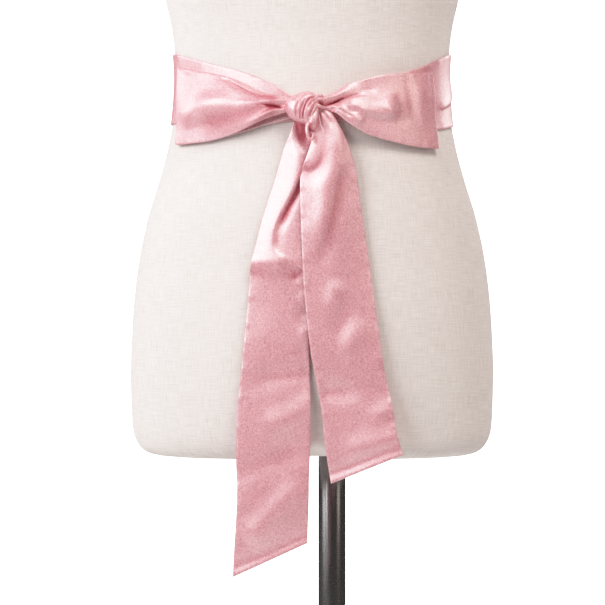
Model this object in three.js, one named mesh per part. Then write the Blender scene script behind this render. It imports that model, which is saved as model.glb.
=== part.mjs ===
// A satin sash tied in a bow round the waist of a limbless dress form on a pole stand.
// Millimetres, +Z up, +X to the right seen from the front, the bow faces -Y.
// The origin is the centre of the base plate's underside, on the pole's axis.
import * as THREE from "three";

// ---------------------------------------------------------------- named sizes
const CLOTH = 1.2; // wall of the sash: two faces of satin turned and pressed
const BASE_R = 160; // round plate of the stand
const BASE_T = 8;
const COLLAR_R = 21;
const COLLAR_TOP = 42;
const POLE_R = 13.25;
const POLE_FIT = 0.35; // pole to collar and to plate
const FORM_X = -19.3; // the form's centre line, beside the pole's axis
const FORM_BOTTOM = 703;
const FORM_STEPS = 48; // facets round the form
const NOTCH_X = -14.5; // shallow arch in the front of the underside
const NOTCH_H = 12;
const NOTCH_W = 15;
const BAND_LIFT = 1.6; // middle of the band's wall off the form
const BACK_LIFT = 3.9; // back layers of the two loops off the form
const KNOT = { x: -26.7, z: 1026.7, lift: 16.8, rx: 17, ry: 12.6, rz: 17 };
const KNOT_TILT = 22; // degrees the wrap leans from upright
const KNOT_PLEATS = 5;
const DEG = Math.PI / 180;

// ---------------------------------------------------------------- tables
// Sections of the dress form: half width, depth in front of and behind the centre, squareness.
const FORM_COLUMNS = ["z", "half", "front", "back", "square"];
const FORM_ROWS = [
  [703, 140, 74, 88, 2.5],
  [704.5, 153, 86, 100, 2.5],
  [709, 163, 94, 108, 2.5],
  [717, 169.2, 99, 113, 2.45],
  [727, 172.6, 102, 116, 2.4],
  [745, 174, 105, 118, 2.35],
  [785, 175, 108, 121, 2.3],
  [815, 174, 109, 122, 2.25],
  [850, 171.8, 108, 122, 2.25],
  [891, 166.8, 106, 119, 2.2],
  [930, 158.6, 104, 113, 2.2],
  [968.5, 147, 101, 105, 2.15],
  [997.5, 139.3, 99, 99, 2.15],
  [1030, 133.6, 96.5, 92, 2.1],
  [1065, 131.5, 94.5, 88, 2.1],
  [1094, 133, 96, 87, 2.1],
  [1113.5, 135.4, 99, 88, 2.1],
  [1142.5, 141.7, 105, 91, 2.15],
  [1170, 145.8, 113.5, 94, 2.15],
  [1200, 149.5, 121.5, 97, 2.15],
  [1230, 152.5, 125.5, 100.5, 2.15],
  [1260, 155, 123.5, 103, 2.15],
  [1295, 159, 112.5, 104, 2.15],
  [1330, 165, 95, 102, 2.2],
  [1365, 171, 77.5, 94, 2.3],
  [1392, 168, 64, 82, 2.3],
  [1412, 140, 57, 70, 2.2],
  [1428, 104, 53, 60, 2.1],
  [1445, 72, 50, 54, 2.05],
  [1468, 56, 48, 51, 2],
  [1500, 52, 47, 50, 2],
  [1530, 51, 46, 49, 2],
  [1538, 49, 44, 47, 2],
  [1542, 44, 39, 42, 2],
];

// The band round the waist: its upper and lower edge by the angle from the front (+ to the right).
const BAND_COLUMNS = ["phi", "top", "bottom"];
const BAND_ROWS = [
  [-180, 1092, 1022],
  [-130, 1092, 1022],
  [-95, 1090.5, 1021.5],
  [-80, 1087.3, 1020.5],
  [-66, 1080.6, 1014],
  [-50, 1071.3, 1007],
  [-38, 1064.6, 1009],
  [-28, 1057.6, 1013],
  [-19, 1050.1, 1015.8],
  [-11, 1041.5, 1017.6],
  [0, 1038.5, 1018.5],
  [12, 1041, 1018],
  [26, 1049, 1014],
  [40, 1059, 1009],
  [52, 1067, 1010],
  [60, 1072.5, 1012],
  [67, 1078, 1013.2],
  [77, 1085.2, 1016.6],
  [95, 1090.5, 1020.5],
  [130, 1092, 1022],
  [180, 1092, 1022],
];

// Front layers of the loops, a row for each section across the strip, from the knot to the turn.
// top edge, crest, hollow, ridge and bottom edge: height z and lift off the form for each.
const LOOP_COLUMNS = [
  "topPhi",
  "bottomPhi",
  "topZ",
  "topLift",
  "crestZ",
  "crestLift",
  "hollowZ",
  "hollowLift",
  "ridgeZ",
  "ridgeLift",
  "bottomZ",
  "bottomLift",
];
const LEFT_LOOP_ROWS = [
  [-15.5, -15.5, 1039.7, 10.4, 1036.5, 16.5, 1030.8, 13.8, 1027.4, 15.9, 1024, 12],
  [-20, -19.5, 1041.3, 9, 1037.5, 16.5, 1030.5, 13.5, 1026, 15.5, 1021.8, 12],
  [-28, -26.5, 1045.5, 8, 1039.5, 16, 1030, 14.5, 1020.5, 14.5, 1017, 12],
  [-36.5, -35, 1054, 7.5, 1045.5, 14, 1032, 15.5, 1015.5, 11.5, 1009.4, 9.8],
  [-45, -43.5, 1060.5, 7.5, 1049, 13, 1033, 15.2, 1014, 8.6, 1003.6, 6.8],
  [-53.5, -51.5, 1064.5, 8, 1050, 12.2, 1033, 14, 1014, 7.4, 1000.2, 6.2],
  [-62, -59.5, 1067.6, 7.8, 1050, 10.6, 1034, 11, 1014, 7, 999, 6.1],
  [-72.5, -68, 1073.2, 7.2, 1050, 8.6, 1034, 8.6, 1014, 7, 998.6, 6.1],
];
const RIGHT_LOOP_ROWS = [
  [8, 8, 1041.2, 11.3, 1038, 17, 1033.5, 13.7, 1030, 16.8, 1026, 13],
  [12, 12, 1044.5, 10, 1040, 17, 1034.5, 13, 1029, 16.5, 1023.5, 13],
  [18, 18, 1050.5, 9, 1044.5, 15.5, 1035.5, 12.8, 1024, 15, 1014.8, 12],
  [26, 26, 1055.5, 8.5, 1047.5, 14, 1035, 13, 1019, 13.5, 1006.2, 11.5],
  [34.5, 34.5, 1060, 8, 1048, 13.2, 1032.5, 13, 1015, 11.8, 1001, 9.6],
  [43.5, 43, 1063, 7.5, 1048, 12, 1031, 11.4, 1013, 9.6, 997.3, 7.5],
  [52.5, 51.5, 1064.2, 7.2, 1047, 10.3, 1030, 9.4, 1012, 7.8, 994.6, 6.6],
  [62.5, 61.8, 1066.5, 6.8, 1046, 8.4, 1030, 7.8, 1012, 7, 994.2, 6.3],
];
// Back layers of the loops, lying on the band: edges from the turn back to the knot.
const BACK_COLUMNS = ["phi", "top", "bottom"];
const LEFT_BACK_ROWS = [
  [-70, 1071, 999.4],
  [-58, 1064, 1001],
  [-46, 1060, 1003.4],
  [-34, 1050, 1008.6],
  [-24, 1042, 1014.4],
  [-15.5, 1037.5, 1017],
];
const RIGHT_BACK_ROWS = [
  [61.5, 1065, 995.4],
  [48, 1062, 998],
  [36, 1058, 1003],
  [24, 1051, 1011],
  [15, 1043, 1019.5],
  [8, 1038.5, 1026],
];
const LOOP_TURN_STEPS = 5;
const TURN_RADIUS = 135; // the form's own radius where the loops turn

// The tails, a row for each section from the knot down: edges, and the lift off the form at
// the left edge, three places across and the right edge. Where the form ends they hang straight.
const TAIL_COLUMNS = ["leftZ", "leftX", "rightZ", "rightX", "lift0", "lift1", "lift2", "lift3", "lift4"];
const TAIL_PLACES = { left: [0, 0.25, 0.5, 0.75, 1], right: [0, 0.2, 0.4, 0.7, 1] };
const LEFT_TAIL_ROWS = [
  [1007.5, -39.3, 1007.5, -22, 7.8, 10.8, 12.2, 11, 10],
  [990, -46.3, 988, -17.5, 5.5, 8, 9.5, 8.5, 6.5],
  [966.5, -52.9, 963, -15.6, 4.5, 6.5, 8, 7, 5.5],
  [945, -59.8, 936, -16.1, 4, 5.5, 6.5, 6, 5],
  [923, -66.7, 917, -17.2, 4.8, 6.8, 7.8, 7, 5.6],
  [903, -71.5, 898, -18.4, 6, 8, 8.6, 7.4, 5.8],
  [888, -75.5, 884, -19.2, 7.2, 8.8, 9.2, 7.8, 5.8],
  [870, -77.4, 868, -20.2, 6, 6.6, 6.6, 6.2, 5.4],
  [845, -79.3, 843, -21.6, 5.5, 5.2, 5, 4.6, 4.5],
  [815, -82.4, 815, -22.5, 6.5, 6, 5, 4.5, 4.5],
  [788, -84.7, 788, -22, 7.5, 6.5, 5.5, 5, 4.5],
  [760, -87.7, 762, -21.2, 8.5, 7.5, 6.5, 5.5, 5],
  [733, -89.2, 740, -21.2, 9, 8, 7, 6, 5.5],
  [705, -89.7, 715, -21.4, 9.5, 8.5, 7, 6, 5.5],
  [677, -88.8, 692, -22.3, 9.5, 8.5, 7, 6, 5.5],
  [650, -89.7, 668, -22.7, 9.5, 8.5, 7, 6, 5.5],
  [622, -91.5, 647, -23.4, 9.5, 8.5, 7, 6, 5.5],
  [597.4, -92.9, 629, -23.9, 9.5, 8.5, 7, 6, 5.5],
];
const RIGHT_TAIL_ROWS = [
  [1017, -9.5, 1018.5, 5, 12.5, 14, 14.5, 13, 9.5],
  [1004, -18.2, 1004, 10.6, 12, 14, 16, 14.5, 9.5],
  [984, -25, 987.5, 16.2, 12, 13.5, 15.5, 13, 8],
  [968, -30.2, 969, 21.2, 12, 13, 14, 11.5, 7],
  [945, -30.6, 945, 24.2, 11, 12, 12.5, 10, 6],
  [922, -29.9, 922, 27.7, 10.8, 11.5, 12, 9.5, 6],
  [888, -28.6, 888, 32.7, 10.6, 10.8, 10.5, 8.5, 5.5],
  [856, -26.6, 856, 37.1, 9.5, 9.5, 9.5, 8.5, 6.5],
  [811, -22, 811, 43.2, 9, 9.2, 9.6, 10, 10],
  [784.6, -17.4, 786, 46.8, 8.8, 9.4, 10.2, 11.5, 12],
  [761.7, -12.8, 765, 51.7, 8.8, 9.8, 11, 13.3, 15],
  [740, -9.8, 748, 55, 9, 10.3, 12, 15, 17.5],
  [723.3, -8.2, 735, 57, 9.2, 10.8, 12.8, 16.3, 19.3],
  [703, -5.6, 722, 60, 9.6, 11.5, 13.8, 17.8, 21.5],
  [683.9, -2.4, 710.7, 63.5, 10, 12.2, 14.8, 19.2, 23.5],
];
const FREE_BELOW = 770; // the tails leave the form here and fall straight down

// ---------------------------------------------------------------- helpers
// A table as a smooth function of its first column: one monotone cubic for each other column.
function smoothTable(columns, rows) {
  const xs = rows.map((r) => r[0]);
  const fits = columns.slice(1).map((_, c) => {
    const ys = rows.map((r) => r[c + 1]);
    const h = xs.slice(1).map((x, i) => x - xs[i]);
    const s = h.map((d, i) => (ys[i + 1] - ys[i]) / d);
    const m = ys.map((_, i) => {
      if (i === 0) return s[0];
      if (i === ys.length - 1) return s[i - 1];
      if (s[i - 1] * s[i] <= 0) return 0;
      const w1 = 2 * h[i] + h[i - 1];
      const w2 = h[i] + 2 * h[i - 1];
      return (w1 + w2) / (w1 / s[i - 1] + w2 / s[i]);
    });
    return { ys, m, h };
  });
  return (x) => {
    const q = Math.min(Math.max(x, xs[0]), xs[xs.length - 1]);
    let i = xs.findIndex((v, k) => k > 0 && q <= v) - 1;
    if (i < 0) i = 0;
    const out = {};
    fits.forEach(({ ys, m, h }, c) => {
      const t = (q - xs[i]) / h[i];
      out[columns[c + 1]] =
        ys[i] * (1 + 2 * t) * (1 - t) ** 2 +
        m[i] * h[i] * t * (1 - t) ** 2 +
        ys[i + 1] * t * t * (3 - 2 * t) +
        m[i + 1] * h[i] * t * t * (t - 1);
    });
    return out;
  };
}

// Catmull-Rom value through evenly numbered values at position p (0 to values.length - 1).
function through(values, p) {
  const n = values.length;
  const i = Math.min(Math.max(Math.floor(p), 0), n - 2);
  const t = p - i;
  const at = (k) =>
    k < 0 ? 2 * values[0] - values[1] : k >= n ? 2 * values[n - 1] - values[n - 2] : values[k];
  const [a, b, c, d] = [at(i - 1), at(i), at(i + 1), at(i + 2)];
  return 0.5 * (2 * b + (c - a) * t + (2 * a - 5 * b + 4 * c - d) * t * t + (3 * b - a - 3 * c + d) * t ** 3);
}

// A table at position p between its evenly numbered rows, with its values by column name.
function rowAt(columns, rows, p) {
  return Object.fromEntries(
    columns.map((name, c) => [
      name,
      through(
        rows.map((r) => r[c]),
        p,
      ),
    ]),
  );
}

const formAt = smoothTable(FORM_COLUMNS, FORM_ROWS);

// A point on the form's section at height z, at an angle from the front, lifted off its surface.
function formPoint(phi, z, lift = 0) {
  const { half, front, back, square } = formAt(z);
  const flat = (p) => {
    const s = Math.sin(p);
    const c = Math.cos(p);
    const r = (Math.abs(s / half) ** square + Math.abs(c / (c > 0 ? front : back)) ** square) ** (-1 / square);
    return [FORM_X + r * s, -r * c];
  };
  const [x, y] = flat(phi);
  const [ax, ay] = flat(phi - 1e-4);
  const [bx, by] = flat(phi + 1e-4);
  const run = Math.hypot(bx - ax, by - ay);
  return new THREE.Vector3(x + ((by - ay) / run) * lift, y - ((bx - ax) / run) * lift, z);
}

// The form's front surface seen at a place x and height z.
function frontY(x, z) {
  const { half, front, square } = formAt(Math.max(z, FREE_BELOW));
  const t = Math.min(0.999, Math.abs(x - FORM_X) / half);
  return -front * (1 - t ** square) ** (1 / square);
}

// Closed geometry from shared points and faces, turned so that it faces outwards.
function solid(points, faces) {
  const v = points.flatMap((p) => [p.x, p.y, p.z]);
  let volume = 0;
  for (const [a, b, c] of faces)
    volume += points[a].dot(new THREE.Vector3().crossVectors(points[b], points[c]));
  const index = faces.flatMap(([a, b, c]) => (volume < 0 ? [a, c, b] : [a, b, c]));
  const g = new THREE.BufferGeometry();
  g.setAttribute("position", new THREE.Float32BufferAttribute(v, 3));
  g.setIndex(index);
  g.computeVertexNormals();
  return g;
}

// A wall of cloth: grid[i][j] are points in the middle of the wall, i along the strip and j
// across it. Both faces and all four edges are closed, or three rims when the strip is a ring.
function cloth(grid, wall, ring = false) {
  const n = grid.length;
  const m = grid[0].length;
  const at = (i, j) => grid[ring ? (i + n) % n : Math.min(Math.max(i, 0), n - 1)][Math.min(Math.max(j, 0), m - 1)];
  const points = [];
  for (const side of [0.5, -0.5])
    for (let i = 0; i < n; i++)
      for (let j = 0; j < m; j++) {
        const along = new THREE.Vector3().subVectors(at(i + 1, j), at(i - 1, j));
        const across = new THREE.Vector3().subVectors(at(i, j + 1), at(i, j - 1));
        const out = new THREE.Vector3().crossVectors(along, across).normalize();
        points.push(at(i, j).clone().addScaledVector(out, wall * side));
      }
  const id = (s, i, j) => s * n * m + ((i + n) % n) * m + j;
  const faces = [];
  const quad = (a, b, c, d) => faces.push([a, b, c], [a, c, d]);
  const last = ring ? n : n - 1;
  for (let i = 0; i < last; i++) {
    for (let j = 0; j < m - 1; j++) {
      quad(id(0, i, j), id(0, i + 1, j), id(0, i + 1, j + 1), id(0, i, j + 1));
      quad(id(1, i, j), id(1, i, j + 1), id(1, i + 1, j + 1), id(1, i + 1, j));
    }
    quad(id(0, i, 0), id(1, i, 0), id(1, i + 1, 0), id(0, i + 1, 0));
    quad(id(0, i, m - 1), id(0, i + 1, m - 1), id(1, i + 1, m - 1), id(1, i, m - 1));
  }
  if (!ring)
    for (let j = 0; j < m - 1; j++) {
      quad(id(0, 0, j), id(0, 0, j + 1), id(1, 0, j + 1), id(1, 0, j));
      quad(id(0, n - 1, j), id(1, n - 1, j), id(1, n - 1, j + 1), id(0, n - 1, j + 1));
    }
  return solid(points, faces);
}

const linspace = (a, b, n) => Array.from({ length: n + 1 }, (_, i) => a + ((b - a) * i) / n);

// ---------------------------------------------------------------- dress form and stand
// The underside rises in a shallow arch at the front, above where the legs would part.
function notch(x, y) {
  const fade = Math.min(1, Math.max(0, (Math.abs(y) - 26) / 36));
  return NOTCH_H * Math.exp(-(((x - NOTCH_X) / NOTCH_W) ** 2)) * fade * fade * (3 - 2 * fade);
}
function formGeometry() {
  const heights = FORM_ROWS.map((r) => r[0]);
  const points = [];
  for (const z of heights)
    for (let k = 0; k < FORM_STEPS; k++) {
      const p = formPoint((k / FORM_STEPS) * 2 * Math.PI, z);
      p.z += notch(p.x, p.y) * Math.max(0, 1 - (z - FORM_BOTTOM) / 42);
      points.push(p);
    }
  const faces = [];
  const id = (i, k) => i * FORM_STEPS + (k % FORM_STEPS);
  for (let i = 0; i < heights.length - 1; i++)
    for (let k = 0; k < FORM_STEPS; k++) {
      faces.push([id(i, k), id(i, k + 1), id(i + 1, k + 1)], [id(i, k), id(i + 1, k + 1), id(i + 1, k)]);
    }
  // underside: a flat inner ring round the pole, then its middle; top: one crowned middle
  const inner = points.length;
  for (let k = 0; k < FORM_STEPS; k++) {
    const a = (k / FORM_STEPS) * 2 * Math.PI;
    points.push(new THREE.Vector3(FORM_X / 2 + 50 * Math.sin(a), -24 * Math.cos(a), FORM_BOTTOM));
  }
  const low = points.push(new THREE.Vector3(FORM_X / 2, 0, FORM_BOTTOM)) - 1;
  const high = points.push(new THREE.Vector3(FORM_X, 0, heights[heights.length - 1] + 4)) - 1;
  const top = heights.length - 1;
  for (let k = 0; k < FORM_STEPS; k++) {
    const k2 = (k + 1) % FORM_STEPS;
    faces.push([id(0, k + 1), id(0, k), inner + k], [id(0, k + 1), inner + k, inner + k2]);
    faces.push([inner + k2, inner + k, low], [id(top, k), id(top, k + 1), high]);
  }
  return solid(points, faces);
}

function poleGeometry() {
  const g = new THREE.CylinderGeometry(POLE_R, POLE_R, FORM_BOTTOM - 0.35 - BASE_T - POLE_FIT, 32);
  g.rotateX(Math.PI / 2);
  g.translate(0, 0, (FORM_BOTTOM - 0.35 + BASE_T + POLE_FIT) / 2);
  return g;
}

function baseGeometry() {
  const inner = POLE_R + POLE_FIT;
  const profile = [
    [0, 0],
    [BASE_R - 1.5, 0],
    [BASE_R, 1.5],
    [BASE_R, BASE_T - 2],
    [BASE_R - 2, BASE_T],
    [COLLAR_R, BASE_T],
    [COLLAR_R, COLLAR_TOP - 2],
    [COLLAR_R - 2, COLLAR_TOP],
    [inner, COLLAR_TOP],
    [inner, BASE_T],
    [0, BASE_T],
  ].map(([r, z]) => new THREE.Vector2(r, z));
  const g = new THREE.LatheGeometry(profile, 48);
  g.rotateX(Math.PI / 2);
  return g;
}

// ---------------------------------------------------------------- sash
function bandGeometry() {
  const edge = smoothTable(BAND_COLUMNS, BAND_ROWS);
  const grid = linspace(-180, 180, 60)
    .slice(0, 60)
    .map((phi) => {
      const { top, bottom } = edge(phi);
      return linspace(top, bottom, 4).map((z) => formPoint(phi * DEG, z, BAND_LIFT));
    });
  return cloth(grid, CLOTH, true);
}

// A loop: its front layer out from the knot, a rounded turn, and its back layer home again.
function loopGeometry(frontRows, backRows) {
  const across = linspace(0, 4, 10);
  const front = (p) => {
    const r = rowAt(LOOP_COLUMNS, frontRows, p);
    const heights = [r.topZ, r.crestZ, r.hollowZ, r.ridgeZ, r.bottomZ];
    const lifts = [r.topLift, r.crestLift, r.hollowLift, r.ridgeLift, r.bottomLift];
    return {
      phi: (q) => (r.topPhi + ((r.bottomPhi - r.topPhi) * q) / 4) * DEG,
      z: (q) => through(heights, q),
      lift: (q) => through(lifts, q),
    };
  };
  const back = (p) => {
    const r = rowAt(BACK_COLUMNS, backRows, p);
    return { phi: r.phi * DEG, z: (q) => r.top + ((r.bottom - r.top) * q) / 4 };
  };
  const grid = linspace(0, frontRows.length - 1, 15).map((p) => {
    const row = front(p);
    return across.map((q) => formPoint(row.phi(q), row.z(q), row.lift(q)));
  });
  const end = front(frontRows.length - 1);
  const home = back(0);
  for (let k = 1; k < LOOP_TURN_STEPS; k++) {
    const share = k / LOOP_TURN_STEPS;
    const a = share * Math.PI;
    grid.push(
      across.map((q) => {
        const r = (end.lift(q) - BACK_LIFT) / 2;
        const reach = (Math.sign(home.phi) * r * Math.sin(a)) / TURN_RADIUS;
        const phi = end.phi(q) + (home.phi - end.phi(q)) * share + reach;
        const z = end.z(q) + (home.z(q) - end.z(q)) * share;
        return formPoint(phi, z, BACK_LIFT + r + r * Math.cos(a));
      }),
    );
  }
  for (const p of linspace(0, backRows.length - 1, 10)) {
    const row = back(p);
    grid.push(across.map((q) => formPoint(row.phi, row.z(q), BACK_LIFT)));
  }
  return cloth(grid, CLOTH);
}

function tailGeometry(rows, places) {
  const grid = linspace(0, rows.length - 1, 30).map((p) => {
    const r = rowAt(TAIL_COLUMNS, rows, p);
    const lifts = [r.lift0, r.lift1, r.lift2, r.lift3, r.lift4];
    const lift = smoothTable(
      ["place", "lift"],
      places.map((u, k) => [u, lifts[k]]),
    );
    return linspace(0, 1, 8).map((u) => {
      const x = r.leftX + (r.rightX - r.leftX) * u;
      const z = r.leftZ + (r.rightZ - r.leftZ) * u;
      return new THREE.Vector3(x, frontY(x, z) - lift(u).lift, z);
    });
  });
  return cloth(grid, CLOTH);
}

// The knot: the hidden layers share one rounded lump, pleated where the wrap crosses its front.
function knotGeometry() {
  const rings = 16;
  const steps = 24;
  const y0 = frontY(KNOT.x, KNOT.z) - KNOT.lift;
  const points = [];
  const place = (a, b) => {
    const d = new THREE.Vector3(Math.sin(a) * Math.sin(b), -Math.cos(b), Math.cos(a) * Math.sin(b));
    const lean = KNOT_TILT * DEG;
    const acrossWrap = d.x * Math.cos(lean) - d.z * Math.sin(lean);
    const ripple = 0.035 * Math.cos(acrossWrap * Math.PI * KNOT_PLEATS) * Math.max(0, -d.y);
    return new THREE.Vector3(
      KNOT.x + d.x * KNOT.rx * (0.97 + ripple),
      y0 + d.y * KNOT.ry * (0.97 + ripple),
      KNOT.z + d.z * KNOT.rz * (0.97 + ripple),
    );
  };
  for (let i = 1; i < rings; i++)
    for (let k = 0; k < steps; k++) points.push(place((k / steps) * 2 * Math.PI, (i / rings) * Math.PI));
  const front = points.push(place(0, 0)) - 1;
  const back = points.push(place(0, Math.PI)) - 1;
  const id = (i, k) => (i - 1) * steps + (k % steps);
  const faces = [];
  for (let k = 0; k < steps; k++) {
    faces.push([front, id(1, k + 1), id(1, k)], [back, id(rings - 1, k), id(rings - 1, k + 1)]);
    for (let i = 1; i < rings - 1; i++)
      faces.push([id(i, k), id(i, k + 1), id(i + 1, k + 1)], [id(i, k), id(i + 1, k + 1), id(i + 1, k)]);
  }
  return solid(points, faces);
}

// ---------------------------------------------------------------- scene graph
const satin = new THREE.MeshStandardMaterial({ color: 0xe3a9ae, roughness: 0.4, metalness: 0, side: THREE.DoubleSide });
const linen = new THREE.MeshStandardMaterial({ color: 0xe9e2da, roughness: 0.9, metalness: 0 });
const gunmetal = new THREE.MeshStandardMaterial({ color: 0x4a4848, roughness: 0.35, metalness: 0.9 });

const group = new THREE.Group();
const stand = new THREE.Group();
const dressForm = new THREE.Group();
const sash = new THREE.Group();
group.add(stand, dressForm, sash);

function add(parent, name, geometry, material) {
  const mesh = new THREE.Mesh(geometry, material);
  mesh.name = name;
  parent.add(mesh);
}

add(stand, "stand_base", baseGeometry(), gunmetal);
add(stand, "stand_pole", poleGeometry(), gunmetal);
add(dressForm, "form_body", formGeometry(), linen);
add(sash, "sash_band", bandGeometry(), satin);
add(sash, "sash_loop_left", loopGeometry(LEFT_LOOP_ROWS, LEFT_BACK_ROWS), satin);
add(sash, "sash_loop_right", loopGeometry(RIGHT_LOOP_ROWS, RIGHT_BACK_ROWS), satin);
add(sash, "sash_knot", knotGeometry(), satin);
add(sash, "sash_tail_left", tailGeometry(LEFT_TAIL_ROWS, TAIL_PLACES.left), satin);
add(sash, "sash_tail_right", tailGeometry(RIGHT_TAIL_ROWS, TAIL_PLACES.right), satin);

export default group;
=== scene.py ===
"""Looks for a satin sash tied in a bow on a limbless dress form on a pole stand.

All tables are in millimetres in the row frame: +Z up, -Y out of the front, +X to the right.
"""

import math

import bpy
import numpy as np
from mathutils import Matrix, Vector


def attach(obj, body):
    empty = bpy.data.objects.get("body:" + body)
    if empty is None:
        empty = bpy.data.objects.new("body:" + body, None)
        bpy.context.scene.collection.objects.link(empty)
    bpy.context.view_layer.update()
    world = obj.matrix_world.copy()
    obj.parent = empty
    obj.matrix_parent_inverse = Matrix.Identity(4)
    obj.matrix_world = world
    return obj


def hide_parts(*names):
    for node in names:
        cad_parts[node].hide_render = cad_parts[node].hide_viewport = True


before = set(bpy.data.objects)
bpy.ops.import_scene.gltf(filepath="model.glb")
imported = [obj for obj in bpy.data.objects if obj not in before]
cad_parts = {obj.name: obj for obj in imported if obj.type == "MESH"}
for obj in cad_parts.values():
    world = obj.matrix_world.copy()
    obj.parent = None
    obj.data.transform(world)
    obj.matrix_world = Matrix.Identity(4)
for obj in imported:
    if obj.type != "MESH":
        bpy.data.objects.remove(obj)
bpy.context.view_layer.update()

MM = 0.001

# ------------------------------------------------------------------ sizes
FORM_X = -19.3
FORM_BOTTOM = 703.0
NOTCH_X, NOTCH_H, NOTCH_W = -14.5, 12.0, 15.0
SASH_WIDTH = 70.0
WALL = 0.9
BAND_LIFT = 1.6
BACK_LIFT = 3.9
FREE_BELOW = 770.0
TURN_RADIUS = 135.0
EDGE_ROLL, SLACK_REACH = 0.22, 7.0
KNOT_RIM, KNOT_FRONT, KNOT_BACK = 14.0, 13.0, 8.0
# how deep a crease must sink before its colour gets painted shade, and how much deeper it must sink for the full
# painted shade
SHADE_FROM, SHADE_DEPTH = 0.8, 5.0
# places across the strip, closer together along its two hems
EDGE_PLACES = [0, 0.3, 0.8, 1.5, 2.1, 2.5, 2.9, 3.5, 4.3]
ACROSS = np.concatenate([EDGE_PLACES, np.linspace(5.3, 64.7, 66), SASH_WIDTH - np.array(EDGE_PLACES[::-1])])

# ------------------------------------------------------------------ tables (columns named above each)
# z, half width, depth in front, depth behind, squareness
FORM_ROWS = [
    (703, 140, 74, 88, 2.5),
    (704.5, 153, 86, 100, 2.5),
    (709, 163, 94, 108, 2.5),
    (717, 169.2, 99, 113, 2.45),
    (727, 172.6, 102, 116, 2.4),
    (745, 174, 105, 118, 2.35),
    (785, 175, 108, 121, 2.3),
    (815, 174, 109, 122, 2.25),
    (850, 171.8, 108, 122, 2.25),
    (891, 166.8, 106, 119, 2.2),
    (930, 158.6, 104, 113, 2.2),
    (968.5, 147, 101, 105, 2.15),
    (997.5, 139.3, 99, 99, 2.15),
    (1030, 133.6, 96.5, 92, 2.1),
    (1065, 131.5, 94.5, 88, 2.1),
    (1094, 133, 96, 87, 2.1),
    (1113.5, 135.4, 99, 88, 2.1),
    (1142.5, 141.7, 105, 91, 2.15),
    (1170, 145.8, 113.5, 94, 2.15),
    (1200, 149.5, 121.5, 97, 2.15),
    (1230, 152.5, 125.5, 100.5, 2.15),
    (1260, 155, 123.5, 103, 2.15),
    (1295, 159, 112.5, 104, 2.15),
    (1330, 165, 95, 102, 2.2),
    (1365, 171, 77.5, 94, 2.3),
    (1392, 168, 64, 82, 2.3),
    (1412, 140, 57, 70, 2.2),
    (1428, 104, 53, 60, 2.1),
    (1445, 72, 50, 54, 2.05),
    (1468, 56, 48, 51, 2),
    (1500, 52, 47, 50, 2),
    (1530, 51, 46, 49, 2),
    (1538, 49, 44, 47, 2),
    (1542, 44, 39, 42, 2),
]
# angle from the front, upper edge, lower edge
BAND_ROWS = [
    (-180, 1092, 1022),
    (-130, 1092, 1022),
    (-95, 1090.5, 1021.5),
    (-80, 1087.3, 1020.5),
    (-66, 1080.6, 1014),
    (-50, 1071.3, 1007),
    (-38, 1064.6, 1009),
    (-28, 1057.6, 1013),
    (-19, 1050.1, 1015.8),
    (-11, 1041.5, 1017.6),
    (0, 1038.5, 1018.5),
    (12, 1041, 1018),
    (26, 1049, 1014),
    (40, 1059, 1009),
    (52, 1067, 1010),
    (60, 1072.5, 1012),
    (67, 1078, 1013.2),
    (77, 1085.2, 1016.6),
    (95, 1090.5, 1020.5),
    (130, 1092, 1022),
    (180, 1092, 1022),
]
# angles of the top and of the bottom edge, then height and lift of: top edge, crest, hollow, ridge, bottom edge
LEFT_LOOP_ROWS = [
    (-8.0, -8.0, 1035.5, 12, 1033, 16, 1031, 15, 1028.5, 16, 1026.0, 12),
    (-13.5, -13.5, 1039, 11, 1036, 16.5, 1031, 14, 1028, 16, 1025.0, 12),
    (-20, -19.5, 1041.3, 9, 1037.5, 16.5, 1030.5, 13.5, 1026, 15.5, 1021.8, 12),
    (-28, -26.5, 1045.5, 8, 1039.5, 16, 1030, 14.5, 1020.5, 14.5, 1017, 12),
    (-36.5, -35, 1054, 7.5, 1045.5, 14, 1032, 15.5, 1015.5, 12.4, 1009.4, 9.8),
    (-45, -43.5, 1060.5, 7.5, 1049, 13, 1033, 15.2, 1014, 10.4, 1003.6, 6.4),
    (-53.5, -51.5, 1064.5, 8, 1050, 12.2, 1033, 14, 1014, 9.6, 1000.2, 5.8),
    (-62, -59.5, 1067.6, 7.8, 1050, 10.6, 1034, 11, 1014, 8, 999, 5.8),
    (-72.5, -68, 1073.2, 7.2, 1050, 8.6, 1034, 8.6, 1014, 7.0, 998.6, 5.9),
]
RIGHT_LOOP_ROWS = [
    (1.0, 1.0, 1036, 14, 1034, 16, 1032, 15, 1030.5, 16, 1029, 13),
    (6, 6, 1039.5, 12, 1037, 17, 1033, 14, 1030.5, 17, 1027.3, 13),
    (12, 12, 1044.5, 11.5, 1040, 16.5, 1034.5, 13, 1029, 16.5, 1023.5, 13),
    (18, 18, 1050.5, 11.6, 1044.5, 13.6, 1035.5, 13.5, 1024, 15, 1014.8, 12),
    (26, 26, 1055.5, 11, 1047.5, 11.4, 1035, 14, 1019, 13.5, 1006.2, 11.5),
    (34.5, 34.5, 1060, 10.4, 1048, 10.5, 1032.5, 13.6, 1015, 11.8, 1001, 9.6),
    (43.5, 43, 1063, 9.2, 1048, 9.8, 1031, 12, 1013, 9.6, 997.3, 7.5),
    (52.5, 51.5, 1064.2, 8.2, 1047, 9.8, 1030, 9.6, 1012, 8, 994.6, 6.4),
    (62.5, 61.8, 1066.5, 6.8, 1046, 8.4, 1030, 7.8, 1012, 7, 994.2, 6),
]
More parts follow.
